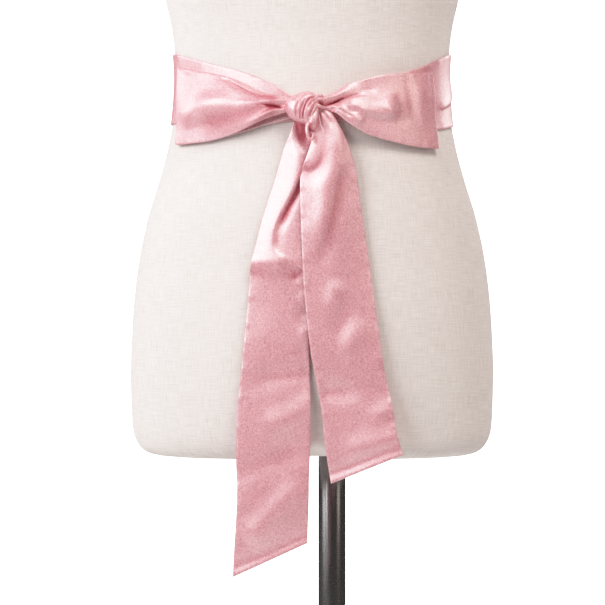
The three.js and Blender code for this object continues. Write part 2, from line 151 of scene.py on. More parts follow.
# angle, upper edge, lower edge
LEFT_BACK_ROWS = [
    (-70, 1071, 999.4),
    (-58, 1064, 1001.0),
    (-46, 1060, 1003.4),
    (-34, 1050, 1008.6),
    (-24, 1042, 1014.4),
    (-15.5, 1037.5, 1017.6),
    (-8, 1036, 1021),
]
RIGHT_BACK_ROWS = [
    (61.5, 1065, 995.4),
    (48, 1062, 998),
    (36, 1058, 1003),
    (24, 1051, 1011),
    (15, 1043, 1019.5),
    (8, 1038.5, 1026),
    (1, 1037, 1028),
]
# left edge z, x; right edge z, x; lift at the left edge, three places across, the right edge
TAIL_PLACES = {"left": (0, 0.25, 0.5, 0.75, 1), "right": (0, 0.2, 0.4, 0.7, 1)}
LEFT_TAIL_ROWS = [
    (1021, -34.5, 1020.5, -25.5, 12, 14, 15, 14.5, 13),
    (1013.5, -37.0, 1013, -22.5, 9.5, 12.5, 13.5, 13, 12),
    (1004, -40.6, 1002, -20.5, 7, 10, 11.5, 10, 9),
    (990, -46.3, 988, -17.5, 5.5, 8, 9.5, 8.5, 6.5),
    (966.5, -52.9, 963, -15.6, 4.5, 6.5, 8, 7, 5.5),
    (945, -59.8, 936, -16.1, 4, 5.5, 6.5, 6, 5),
    (923, -66.7, 917, -17.2, 4.8, 6.8, 7.8, 7.2, 6),
    (903, -71.5, 898, -18.4, 6, 8, 8.8, 8.2, 6.6),
    (888, -75.5, 884, -19.2, 7.2, 8.8, 9.4, 8.8, 7),
    (870, -77.4, 868, -20.2, 6, 6.6, 6.6, 6.2, 5.4),
    (845, -79.3, 843, -21.6, 5.5, 5.2, 5, 4.6, 4.5),
    (815, -82.4, 815, -22.5, 6.5, 6, 5, 4.5, 4.5),
    (788, -84.7, 788, -22, 7.5, 6.5, 5.5, 5, 4.5),
    (760, -87.7, 762, -21.2, 8.5, 7.5, 6.5, 5.5, 5),
    (733, -89.2, 740, -21.2, 9, 8, 7, 6, 5.5),
    (705, -89.7, 715, -21.4, 9.5, 8.5, 7, 6, 5.5),
    (677, -88.8, 692, -22.3, 9.5, 8.5, 7, 6, 5.5),
    (650, -89.7, 668, -22.7, 9.5, 8.5, 7, 6, 5.5),
    (622, -91.5, 647, -23.4, 9.5, 8.5, 7, 6, 5.5),
    (597.4, -92.9, 629, -23.9, 9.5, 8.5, 7, 6, 5.5),
]
RIGHT_TAIL_ROWS = [
    (1026.5, -18, 1030.5, -15, 13, 13.5, 14, 13.5, 12.5),
    (1021.5, -15, 1027.3, -6.5, 12.5, 14.5, 15, 14.5, 12),
    (1014.5, -15.3, 1023, -0.4, 13, 15, 16, 15.8, 12.5),
    (1007, -17.5, 1015.3, 3.8, 13.4, 15.4, 16.8, 16.4, 12.5),
    (997.5, -20.4, 1003.8, 9.9, 13.6, 15.5, 17, 16.2, 12),
    (984, -25, 987.5, 16.2, 13.4, 15.2, 16.8, 15.2, 11),
    (968, -30.2, 969, 21.2, 12.8, 14.4, 16, 14.2, 10),
    (945, -30.6, 945, 24.2, 11.6, 13, 14.2, 12.2, 8),
    (922, -29.9, 922, 27.7, 10.8, 12, 12.8, 10.5, 6.5),
    (888, -28.6, 888, 32.7, 10.4, 10.5, 10.5, 8.5, 5.8),
    (856, -26.6, 856, 37.1, 9.5, 9.5, 9.5, 8.5, 6.5),
    (811, -22, 811, 43.2, 9, 9.2, 9.6, 10, 10),
    (784.6, -17.4, 786, 46.8, 8.8, 9.4, 10.2, 11.5, 12),
    (761.7, -12.8, 765, 51.7, 8.8, 9.8, 11, 13.3, 15),
    (740, -9.8, 748, 55, 9, 10.3, 12, 15, 17.5),
    (723.3, -8.2, 735, 57, 9.2, 10.8, 12.8, 16.3, 19.3),
    (703, -5.6, 722, 60, 9.6, 11.5, 13.8, 17.8, 21.5),
    (683.9, -2.4, 710.7, 63.5, 10, 12.2, 14.8, 19.2, 23.5),
]


# soft pulls round the back of the band, in the same columns as the crease tables below
BAND_BACK_CREASES = [
    ([(-128, 1079), (-96, 1073), (-52, 1069), (-8, 1070), (34, 1075)], 1.1, 3.5, 6, (0.35, 0.35)),
    ([(-70, 1052), (-30, 1046), (14, 1045), (58, 1051), (92, 1060)], -1.0, 5, 4, (0.35, 0.35)),
    ([(-112, 1038), (-74, 1032), (-30, 1031), (8, 1035)], 0.9, 4, 6, (0.35, 0.35)),
    ([(12, 1082), (48, 1080), (84, 1073), (104, 1066)], -0.8, 4, 4, (0.3, 0.35)),
    ([(30, 1030), (62, 1034), (96, 1042)], 0.8, 5, 4, (0.35, 0.3)),
]
# puckers along the turned edges: height, wavelength, slant across the strip, phase
BAND_SLACK = [(0.12, 21.03, 40, 0.4), (0.1, 13.38, -60, 2.1)]
LOOP_SLACK = [(0.1, 17.5, 55, 0.8), (0.08, 9.7, -45, 2.9)]
TAIL_SLACK = [(0.14, 23.5, 60, 0.4), (0.09, 13.1, -48, 1.9), (0.05, 8.3, 90, 4.0)]
# path as (x, z) points, height (+ ridge, - trough), half width left and right of the way walked, fade at start and end
# painted shade rows: the same, with how strongly the colour along the line is darkened (0 to 1), standing in for shade
# in hollows and folds, in place of the height
# knot: its outline as (x, z), then strands with half depth and rows of (x, z, lift, half width)
# ---- crease tables
LEFT_LOOP_CREASES = [
    # upper edge of the pocket
    ([(-86.3, 1034.5), (-97.5, 1035.1), (-108, 1035.2), (-119.4, 1033.5), (-127.7, 1028.7), (-131.6, 1021.9), (-131.4, 1011.4)], 4.6, 12, 10, (0.4, 0.25)),
    # upper edge of the pocket, by the knot
    ([(-47.4, 1031), (-64, 1033.1), (-77, 1033.8), (-90, 1034.7), (-105.1, 1035.2)], 2, 7, 3.2, (0.15, 0.5)),
    # slack by the turn
    ([(-140.4, 1056.3), (-142.3, 1037.5), (-140, 1018)], 0.5, 5, 6, (0.3, 0.3)),
    # dark wedge at the knot
    ([(-45.5, 1028.4), (-53.8, 1030), (-62.1, 1032), (-73.2, 1033.1)], -3.6, 1.8, 1.6, (0.15, 0.6)),
    # rolled lower edge
    ([(-42.8, 1027.5), (-52, 1026.6), (-60.3, 1024.3), (-68.6, 1020), (-76, 1015.9), (-86.2, 1010.8)], 1.8, 1.6, 2.6, (0.05, 0.6)),
    # edge of the turned-in strip
    ([(-107.1, 1062.5), (-95.7, 1055.8), (-86.3, 1050.3), (-77, 1045), (-64, 1040.3)], 2, 5, 1.1, (0.3, 0.35)),
    # line under the turned-in strip
    ([(-102.3, 1059.4), (-91.9, 1052.8), (-82.6, 1047.2), (-73.3, 1042.6), (-62.1, 1039.4), (-43.7, 1037.2)], -1.8, 1.2, 2, (0.15, 0.2)),
    # shade below it
    ([(-95.7, 1052.5), (-84.4, 1044.6), (-71.4, 1039.1), (-56.6, 1035.6)], -1.2, 4, 3.5, (0.4, 0.3)),
    # pull from the knot, upper
    ([(-41.8, 1036.3), (-52.9, 1036.2), (-65.8, 1038), (-80.7, 1041.7)], 0.9, 3, 3.4, (0.05, 0.6)),
    # shade at the upper corner
    ([(-146.8, 1075.7), (-138.4, 1068.3), (-126.4, 1063.5)], -1.4, 3, 3, (0.2, 0.5)),
]
RIGHT_LOOP_CREASES = [
    # sharp pleat under the upper tube
    ([(-13.3, 1033.4), (-9.7, 1030.7), (-5.1, 1031.2), (0.5, 1033.6), (6.9, 1036.9), (15.2, 1039.4), (26.4, 1041.3), (37.5, 1041.6)], -3.6, 1.6, 1.6, (0.02, 0.6)),
    # upper tube
    ([(-12.4, 1036.7), (-6, 1036.2), (1.4, 1040.4), (11.6, 1045.7), (26.4, 1050.1)], 1.4, 3.6, 3.2, (0.02, 0.6)),
    # rim of the bright facet
    ([(5.1, 1033.5), (13.4, 1032.7), (21.7, 1030.4), (30, 1027.6), (38.4, 1025.4), (46.8, 1024.7), (55.3, 1026), (63.8, 1028.6)], 4, 11, 4.4, (0.22, 0.25)),
    # round end of the bright facet
    ([(49.6, 1019.6), (53.4, 1026.3), (54.8, 1032.8), (53.9, 1039.8), (50.2, 1046.7)], 1.7, 13, 5.5, (0.35, 0.35)),
    # facet's upper edge
    ([(11.5, 1039.4), (22.6, 1043.4), (31.9, 1045.5), (41.3, 1045)], -1, 3, 3, (0.3, 0.3)),
    # grey line in the lower leaf
    ([(-2.3, 1028.7), (3.2, 1027.6), (7.8, 1026), (13.4, 1022.3), (18.9, 1019.8)], -1.4, 1.2, 1.6, (0.1, 0.4)),
    # lower leaf
    ([(-2.3, 1026.5), (10.6, 1016.9), (21.7, 1010.6), (31.8, 1005.6)], 4.2, 11, 2.4, (0.12, 0.5)),
    # round end of the lower leaf
    ([(18, 1013.3), (24, 1018), (26.3, 1024.1), (24.5, 1030.1)], 1.7, 9, 4, (0.35, 0.35)),
    # upright trough
    ([(68.2, 1062.5), (70.1, 1053.2), (72.5, 1042.1), (73.8, 1027.2), (73.2, 1012.1)], -1, 4.2, 5, (0.2, 0.5)),
    # broad hollow
    ([(60, 1034), (63.8, 1022.9), (67.5, 1010)], -0.8, 8, 8, (0.4, 0.4)),
    # second upright swell
    ([(80.3, 1059.6), (82.1, 1042.8), (83, 1024), (83.8, 1005.1)], 0.4, 4, 4, (0.3, 0.3)),
    # crease by the turn
    ([(90.1, 1066.1), (92.1, 1055), (93, 1040), (93.3, 1021)], -0.3, 2.2, 2.2, (0.1, 0.5)),
]
LEFT_TAIL_CREASES = [
    # fold over the pocket and its lip
    ([(-22.5, 999.4), (-24.4, 990.1), (-27.1, 979.1), (-30.8, 966.2), (-34.9, 954.2), (-40.9, 944.1), (-47.8, 933), (-53.5, 922), (-56.8, 909.2), (-56.3, 899.1), (-51.4, 892.2), (-41.8, 888.5), (-28, 888)], 2.7, 3.8, 14, (0.12, 0.4)),
    # dark slot of the pocket
    ([(-28, 971.7), (-31.7, 958.8), (-37.7, 945.9), (-44.1, 933.9), (-49.1, 922), (-51, 909.1)], -3.2, 5, 2, (0.25, 0.3)),
    # edge of the shelf
    ([(-79.5, 888.6), (-71.2, 887.8), (-62, 887.1), (-51, 885.7), (-40, 885.3)], 2.2, 10, 9, (0, 0.3)),
    # dark dimple
    ([(-28, 881.6), (-33.5, 875.2), (-38.1, 866)], -1.7, 5.5, 5, (0.1, 0.5)),
    # hollow under the knot
    ([(-34.5, 1029), (-33.1, 1019.7), (-31.3, 1008.6), (-29, 997.5), (-26.2, 986.4)], -4.8, 11, 4.5, (0.1, 0.4)),
    # shoulder under the knot
    ([(-37.2, 1019.8), (-40, 1008.7), (-42.8, 993.9)], 1.4, 3, 4, (0.2, 0.4)),
    # edge ripple 1
    ([(-35.4, 854.1), (-27.1, 855.9), (-19.8, 858.7)], 0.9, 5, 6, (0.5, 0)),
    # edge ripple 2
    ([(-37.2, 837.6), (-28, 839.5), (-19.8, 842.2)], -1, 6, 7, (0.5, 0)),
    # edge ripple 3
    ([(-34.4, 820.3), (-27.1, 822.1), (-19.8, 824.8)], 0.9, 5, 6, (0.5, 0)),
    # edge ripple 4
    ([(-39, 803.8), (-29, 806.5), (-18.9, 810.2)], -1, 6, 7, (0.5, 0)),
    # hollow 1
    ([(-85.9, 775.2), (-65.6, 779), (-41.8, 782.7), (-18.9, 786.4)], -1.8, 12, 9, (0.4, 0.1)),
    # bend 2
    ([(-76.6, 734.9), (-56.4, 738.7), (-38.1, 746.1), (-18.9, 755.2)], 2.3, 12, 12, (0.5, 0)),
    # hollow 2
    ([(-89.6, 692.6), (-65.6, 702), (-39.9, 711.3), (-18.9, 720.5)], -1.8, 14, 12, (0, 0.3)),
    # long slanting swell
    ([(-18.9, 689.3), (-39.9, 672.8), (-61.9, 648.9), (-82.2, 626.6)], 2.9, 14, 12, (0.3, 0.2)),
    # hollow over the hem
    ([(-89.6, 608.1), (-65.6, 617.7), (-39.9, 629.8), (-23.5, 637.1)], -1.8, 9, 6, (0, 0)),
]
RIGHT_TAIL_CREASES = [
    # scoop
    ([(-12.4, 1025.1), (-10.3, 1014.9), (-8.6, 1003.8), (-8.4, 992.8), (-9.5, 982.6), (-12.9, 973.9), (-20.7, 969.4), (-29.9, 969.7)], -2.7, 9, 6.5, (0.35, 0)),
    # pleat 1
    ([(-12.8, 1025.1), (-11.5, 1018.6), (-10, 1011.2), (-9.1, 1004.8)], -1.8, 0.8, 1, (0, 0.6)),
    # pleat 2
    ([(-11, 1026.5), (-7.8, 1023.3), (-5.1, 1019.1), (-2.8, 1013.6), (-1.4, 1006.7)], -1.8, 1.4, 1.6, (0, 0.6)),
    # outer pleat
    ([(-10.6, 1028.8), (-5.1, 1026.5), (-0.5, 1020.5), (3.7, 1011.3), (6.9, 999.3), (9.2, 984.6)], 1, 2.2, 3.4, (0, 0.5)),
    # bright swell
    ([(-3.2, 1017.7), (0.4, 1003), (2.3, 988.2), (1.3, 969.8), (-1.5, 949.5), (-6.1, 927.4), (-11.6, 903.6), (-17.1, 881.6)], 3.2, 9, 15, (0.2, 0.35)),
    # long soft trough
    ([(11.5, 980.9), (7.8, 966.1), (4.5, 953.2), (2.2, 938.4), (-2.4, 922.8), (-7.9, 899.9), (-12.5, 876.1)], -2, 9, 5.5, (0.2, 0.25)),
    # light patch
    ([(4, 874.2), (1.2, 857.8), (-4.3, 839.5)], 1.8, 8, 8, (0.4, 0.4)),
    # soft hollow
    ([(16.8, 855.9), (9.4, 834), (-3.4, 812.1)], -1.4, 9, 9, (0.4, 0.4)),
    # soft swell
    ([(29.6, 837.6), (16.8, 813.9), (2.1, 791.9)], 1.5, 9, 9, (0.4, 0.4)),
    # right edge swell 1
    ([(35.1, 804.7), (40.6, 797.3), (45.3, 784.5)], 0.5, 6, 5, (0.4, 0.4)),
    # hollow 1
    ([(-14.3, 768.1), (5.8, 768.1), (29.6, 771.7)], -1.9, 10, 10, (0.2, 0.5)),
    # swell at the right edge
    ([(61, 756.8), (46.2, 749.6), (26, 744.3)], 1.6, 8, 9, (0, 0.5)),
    # swell over the hem
    ([(0.3, 715.1), (22.3, 715.9), (42.5, 720.3), (61, 727.4)], 1.8, 12, 9, (0.4, 0)),
    # hollow over the hem
    ([(-3.3, 693.1), (16.8, 700.4), (38.8, 710.3), (61, 718.2)], -1.9, 7, 6, (0, 0)),
]
BAND_CREASES = [
    # fold right of the loop
    ([(97.5, 1031.7), (104.9, 1035.6), (111.3, 1041.5), (114.6, 1049.9), (115.1, 1060.5), (115.5, 1070.2)], 1.5, 5, 1.6, (0.2, 0.4)),
]
KNOT_CREASES = [
    # pillow and pleat 1
    ([(-22.6, 1041), (-27.6, 1039.7), (-31.2, 1035.5), (-33.3, 1030.1), (-34.1, 1024.1), (-32.2, 1017.2)], -2.4, 0.7, 1.5, (0.3, 0.2)),
    # pleats 1 and 2
    ([(-24.8, 1037), (-27.9, 1031.9), (-30, 1026.4), (-30.8, 1021.4), (-29.5, 1016.3)], -2.6, 0.6, 0.9, (0.35, 0.15)),
    # pleats 2 and 3
    ([(-16.5, 1037.3), (-20.7, 1037), (-24, 1033.8), (-26.2, 1029.2), (-27.7, 1024.1), (-27.9, 1019), (-26.7, 1014.9)], -3.4, 0.6, 1.2, (0.05, 0.2)),
    # pleats 3 and 4
    ([(-16.2, 1035.7), (-19.1, 1034.2), (-21.6, 1030.7), (-24, 1025)], -2.6, 0.5, 1, (0.05, 0.55)),
    # pleat 4 and the right strand
    ([(-15.4, 1034), (-17.3, 1030.7), (-19.3, 1026.8), (-21.6, 1021.8), (-23.3, 1016.3)], -3, 0.6, 1.1, (0.05, 0.3)),
    # pillow
    ([(-31.7, 1039.8), (-33.3, 1031.5), (-32.8, 1021.4)], 1.3, 3.4, 8, (0.35, 0.35)),
    # soft fold on the pillow
    ([(-30.3, 1040.2), (-35.4, 1036.6), (-37.4, 1031.5), (-36.8, 1024.1)], -0.9, 2, 1.6, (0.3, 0.4)),
    # fold across the right strand
    ([(-22.9, 1018.9), (-19.4, 1020), (-14.9, 1021.9)], -1.2, 2.4, 1.2, (0.2, 0.2)),
]
# painted shade: these rows darken the colour along lines in the hollows, slots and insides of folds, standing in for
# the shade that falls there
KNOT_SHADE = [
    # inside of the curl
    ([(-21.6, 1014.9), (-21.7, 1007.5), (-21.3, 1000.2)], 0.55, 2.4, 2, (0.1, 0.1)),
    # lower end of the right strand
    ([(-17.5, 1017.7), (-19.1, 1013.1), (-19.5, 1006.6)], 0.3, 2.6, 3.6, (0.3, 0.1)),
    # under the pillow
    ([(-41.8, 1021.4), (-35.4, 1018.2), (-29, 1014.9)], 0.25, 3, 2, (0.2, 0.3)),
]
LEFT_LOOP_SHADE = [
    # pocket
    ([(-133.9, 1014.5), (-116.5, 1017.5), (-97.5, 1020.9), (-78.8, 1024.4), (-60.3, 1027.3), (-48.3, 1028)], 0.6, 12, 14, (0.25, 0.1)),
    # wedge at the knot
    ([(-44.6, 1028.4), (-54.7, 1030.2), (-65.8, 1032)], 0.6, 2.2, 2, (0.1, 0.5)),
    # under the turned-in strip
    ([(-97.6, 1057.3), (-86.3, 1049.4), (-71.4, 1041.4), (-45.5, 1036.8)], 0.3, 3.5, 4, (0.3, 0.1)),
]
RIGHT_LOOP_SHADE = [
    # beside the facet
    ([(58.2, 1043.3), (61.9, 1034.1), (61.9, 1022.9), (58, 1011.5)], 0.14, 9, 9, (0.4, 0.4)),
    # upright trough
    ([(69.2, 1058.8), (71.5, 1047.7), (73.4, 1032.8), (73.8, 1017.8)], 0.13, 3.6, 4.6, (0.3, 0.5)),
    # under the facet
    ([(17.1, 1030), (26.3, 1026.4), (35.6, 1022.9), (46.8, 1020.4)], 0.2, 2, 5, (0.3, 0.3)),
    # over the facet
    ([(10.6, 1038.6), (26.4, 1043.5), (41.3, 1045.9), (52.5, 1044.4)], 0.22, 3, 2.5, (0.3, 0.3)),
    # under the upper tube
    ([(-12.4, 1032.5), (-6, 1031), (2.3, 1034.4), (13.4, 1039.2)], 0.5, 1.8, 1.6, (0.1, 0.5)),
]
LEFT_TAIL_SHADE = [
    # hollow under the knot
    ([(-32.2, 1019.7), (-30.8, 1009.6), (-29, 999.4), (-26.7, 990.1)], 0.36, 8, 6, (0.05, 0.5)),
    # beside the right tail
    ([(-19, 1003.1), (-22.7, 992), (-26.6, 980.9), (-30.2, 969.8), (-32.3, 956.9)], 0.5, 2.4, 2.4, (0.15, 0.3)),
    # slot of the pocket
    ([(-28, 969.8), (-32.6, 955.1), (-39.1, 941.3), (-44.6, 928.4), (-47.8, 915.6)], 0.65, 5, 2.4, (0.2, 0.3)),
    # under the lip
    ([(-76.7, 879.8), (-63.8, 878.9), (-49.1, 877), (-32.6, 876.1)], 0.42, 8, 7, (0, 0.1)),
    # dimple
    ([(-28, 885.3), (-32.6, 876.1), (-37.2, 866.9)], 0.35, 5, 5, (0.1, 0.5)),
]
RIGHT_TAIL_SHADE = [
    # scoop
    ([(-10.1, 990), (-11.5, 981.7), (-17, 975.2), (-23.5, 972.9), (-29.9, 973.4)], 0.34, 2, 4.5, (0.4, 0.1)),
    # long trough
    ([(11.5, 979), (6.8, 962.4), (2.2, 942.1), (-3.3, 920.1), (-10.7, 892.6)], 0.22, 8, 6, (0.3, 0.3)),
]
KNOT_OUTLINE = [
    (-23.4, 1044), (-18.9, 1042.9), (-15, 1039.2), (-13.5, 1033.3), (-13.9, 1026.8), (-15.2, 1020.3),
    (-17.5, 1015.2), (-22.1, 1012.9), (-27.6, 1013.9), (-32.6, 1015.7), (-37.2, 1018), (-41.5, 1021.7),
    (-44, 1026.9), (-44.6, 1032), (-42.3, 1036.5), (-38.2, 1039.6), (-33.1, 1041.8), (-28.4, 1043.5),
]
KNOT_STRANDS = [
    # lower end of the right strand
    (3, [(-16.5, 1035, 15.5, 2.37), (-16.9, 1029.2, 18.2, 3.1), (-17.6, 1023.5, 20.6, 3.65), (-18.7, 1017.8, 22.2, 4.01), (-19.3, 1012.8, 21.2, 3.74), (-19.2, 1008, 18, 2.92)]),
    # bunch 1
    (2.2, [(-17.5, 1036.2, 17, 1.28), (-15.2, 1038.8, 18.5, 1.55), (-12.3, 1040.1, 18, 1.55), (-9.7, 1038.4, 16, 1.37), (-8.2, 1035.7, 13.5, 1)]),
    # bunch 2
    (2.2, [(-17, 1034.2, 18, 1.28), (-14.3, 1036.1, 19, 1.46), (-11.2, 1036.4, 18, 1.46), (-7.8, 1034.5, 14.5, 1.09)]),
    # bunch 3
    (2.4, [(-16.6, 1031.8, 20, 1.46), (-13.4, 1030.4, 19.5, 1.64), (-10.2, 1029.1, 17, 1.46), (-6, 1028.7, 13.5, 1.09)]),
    # bunch, behind
    (3.5, [(-17.9, 1037.1, 12, 2.74), (-13.8, 1037, 13, 3.28), (-9.6, 1035.8, 11.5, 2.74)]),
    # curl
    (2, [(-23.3, 1016.2, 19.5, 1.55), (-24.3, 1011, 21.5, 1.73), (-24.3, 1005.9, 22, 1.73), (-22.9, 1001.1, 21.5, 1.64), (-20.7, 999.2, 20.5, 1.55), (-19.1, 1002.1, 19.5, 1.28), (-18.9, 1006.6, 18.5, 1.09)]),
    # hollow of the curl
    (1.5, [(-21.6, 1016.3, 18, 2.19), (-21.8, 1010.8, 18, 2.55), (-21.7, 1005.2, 18, 2.55), (-21.3, 1000.7, 17.5, 1.82)]),
]
# ---- end of crease tables


# ------------------------------------------------------------------ curves
def monotone(xs, ys, x):
    """Monotone cubic through (xs, ys), held at its ends."""
    xs, ys = np.asarray(xs, float), np.asarray(ys, float)
    h = np.diff(xs)
    s = np.diff(ys) / h
    m = np.zeros_like(ys)
    m[0], m[-1] = s[0], s[-1]
    for i in range(1, len(xs) - 1):
        if s[i - 1] * s[i] > 0:
            w1, w2 = 2 * h[i] + h[i - 1], h[i] + 2 * h[i - 1]
            m[i] = (w1 + w2) / (w1 / s[i - 1] + w2 / s[i])
    x = np.clip(x, xs[0], xs[-1])
    i = np.clip(np.searchsorted(xs, x, side="right") - 1, 0, len(xs) - 2)
    t = (x - xs[i]) / h[i]
    return (
        ys[i] * (1 + 2 * t) * (1 - t) ** 2
        + m[i] * h[i] * t * (1 - t) ** 2
        + ys[i + 1] * t * t * (3 - 2 * t)
        + m[i + 1] * h[i] * t * t * (t - 1)
    )


def through(values, p):
    """Catmull-Rom through evenly numbered values (first axis) at positions p."""
    v = np.asarray(values, float)
    n = len(v)
    p = np.asarray(p, float)
    i = np.clip(np.floor(p).astype(int), 0, n - 2)
    t = (p - i).reshape(p.shape + (1,) * (v.ndim - 1))
    full = np.concatenate([[2 * v[0] - v[1]], v, [2 * v[-1] - v[-2]]])
    a, b, c, d = full[i], full[i + 1], full[i + 2], full[i + 3]
    return 0.5 * (
        2 * b
        + (c - a) * t
        + (2 * a - 5 * b + 4 * c - d) * t**2
        + (3 * b - a - 3 * c + d) * t**3
    )


FORM_T = np.array(FORM_ROWS, float)


def form_at(z):
    return [monotone(FORM_T[:, 0], FORM_T[:, k], z) for k in (1, 2, 3, 4)]


def form_point(phi, z, lift=0.0):
    """Points on the form at angles phi (radians) and heights z, lifted off its surface, and the way out."""
    phi, z, lift = np.broadcast_arrays(*(np.asarray(q, float) for q in (phi, z, lift)))
    half, front, back, square = form_at(z)

    def flat(p):
        s, c = np.sin(p), np.cos(p)
        r = (np.abs(s / half) ** square + np.abs(c / np.where(c > 0, front, back)) ** square) ** (-1 / square)
        return FORM_X + r * s, -r * c

    x, y = flat(phi)
    ax, ay = flat(phi - 1e-4)
    bx, by = flat(phi + 1e-4)
    run = np.hypot(bx - ax, by - ay)
    nx, ny = (by - ay) / run, -(bx - ax) / run
    point = np.stack([x + nx * lift, y + ny * lift, z], -1)
    out = np.stack([nx, ny, np.zeros_like(nx)], -1)
    return point, out


def front_y(x, z):
    half, front, _, square = form_at(np.maximum(z, FREE_BELOW))
    t = np.minimum(0.999, np.abs(x - FORM_X) / half)
    return -front * (1 - t**square) ** (1 / square)


# ------------------------------------------------------------------ creases
def crease_amounts(x, z, rows):
    """How far soft lines raise (height > 0) or sink points at x, z, and how deep the sunk ones lie, which sets their
    painted shade.

    A row is the line's points (x, z), its height, its half widths on the left and the right of the
    way walked, and the shares of its length over which its start and its end die away.
    """
    total, sunk = np.zeros(x.shape), np.zeros(x.shape)
    for path, height, near, far, fade in rows:
        line = through(path, np.linspace(0, len(path) - 1, 6 * (len(path) - 1) + 1))
        length = np.concatenate([[0], np.cumsum(np.hypot(*np.diff(line, axis=0).T))])
        reach = 3 * max(near, far)
        low, high = line.min(0) - reach, line.max(0) + reach
        hit = (x > low[0]) & (x < high[0]) & (z > low[1]) & (z < high[1])
        px, pz = x[hit], z[hit]
        best, signed, place = np.full(px.shape, 1e9), np.zeros(px.shape), np.zeros(px.shape)
        for k in range(len(line) - 1):
            a, d = line[k], line[k + 1] - line[k]
            size = max(1e-9, float(d @ d))
            t = np.clip(((px - a[0]) * d[0] + (pz - a[1]) * d[1]) / size, 0, 1)
            dx, dz = px - a[0] - t * d[0], pz - a[1] - t * d[1]
            dist = np.hypot(dx, dz)
            new = dist < best
            best = np.where(new, dist, best)
            signed = np.where(new, dist * np.sign(d[0] * dz - d[1] * dx), signed)
            place = np.where(new, (length[k] + t * math.sqrt(size)) / length[-1], place)
        amount = height * np.exp(-((signed / np.where(signed > 0, near, far)) ** 2))
        for share, q in ((fade[0], place), (fade[1], 1 - place)):
            if share > 0:
                q = np.clip(q / share, 0, 1)
                amount *= q * q * (3 - 2 * q)
        total[hit] += amount
        sunk[hit] += np.maximum(0, -amount - SHADE_FROM) / SHADE_DEPTH
    return total, np.clip(sunk, 0, 1)


def creases(grid, out, rows, where=1.0, shade_rows=()):
    """The grid with its soft lines, and how much painted shade each point gets from the creases it lies in, from 0 to
    1.

    The painted shade rows are the same as a crease's, with the strength of their painted shade from 0 to 1 in place of
    the height.
    """
    total, sunk = crease_amounts(grid[..., 0], grid[..., 2], rows)
    depth, _ = crease_amounts(grid[..., 0], grid[..., 2], shade_rows)
    return grid + out * (total * where)[..., None], np.clip(sunk + depth, 0, 1) * where


# ------------------------------------------------------------------ meshes
def normals_of(grid, ring=False):
    if ring:
        along = np.roll(grid, -1, 0) - np.roll(grid, 1, 0)
    else:
        along = np.gradient(grid, axis=0)
    across = np.gradient(grid, axis=1)
    n = np.cross(along, across)
    return n / np.maximum(np.linalg.norm(n, axis=-1, keepdims=True), 1e-9)


def finish_mesh(name, verts, faces, uv=None, attributes=()):
    mesh = bpy.data.meshes.new(name)
    mesh.from_pydata((np.asarray(verts) * MM).tolist(), [], faces)
    mesh.validate()
    mesh.polygons.foreach_set("use_smooth", [True] * len(mesh.polygons))
    for key, values in attributes:
        att = mesh.attributes.new(key, "FLOAT", "POINT")
        att.data.foreach_set("value", np.asarray(values, np.float32))
    if uv is not None:
        layer = mesh.uv_layers.new(name="cloth")
        loops = np.zeros(len(mesh.loops), np.int32)
        mesh.loops.foreach_get("vertex_index", loops)
        layer.data.foreach_set("uv", np.asarray(uv, np.float32)[loops].ravel())
    mesh.update()
    obj = bpy.data.objects.new(name, mesh)
    bpy.context.scene.collection.objects.link(obj)
    return obj


def turned(grid, out, slack, end=False):
    """Rolls the turned edges back a little and lets the seam inside them pucker.

    slack has a row for each wave along the strip: height, wavelength, slant across the strip, phase.
    """
    edge = np.broadcast_to(np.minimum(ACROSS, SASH_WIDTH - ACROSS)[None, :], grid.shape[:2])
    run = np.concatenate([[0], np.cumsum(np.linalg.norm(np.diff(grid, axis=0), axis=-1).mean(1))])
    total = np.zeros(grid.shape[:2])
    for height, wave, slant, phase in slack:
        total += height * np.sin(2 * math.pi * (run[:, None] / wave + ACROSS[None, :] / slant) + phase)
    total *= np.exp(-((edge / SLACK_REACH) ** 2))
    if end:
        edge = np.minimum(edge, from_end(grid))
    return grid + out * (total - EDGE_ROLL * np.exp(-((edge / 1.4) ** 2)))[..., None]


def from_end(grid):
    """How far each point is from the strip's last row, along the strip."""
    step = np.linalg.norm(np.diff(grid, axis=0), axis=-1)
    run = np.concatenate([np.zeros((1, grid.shape[1])), np.cumsum(step, axis=0)])
    return run[-1:] - run


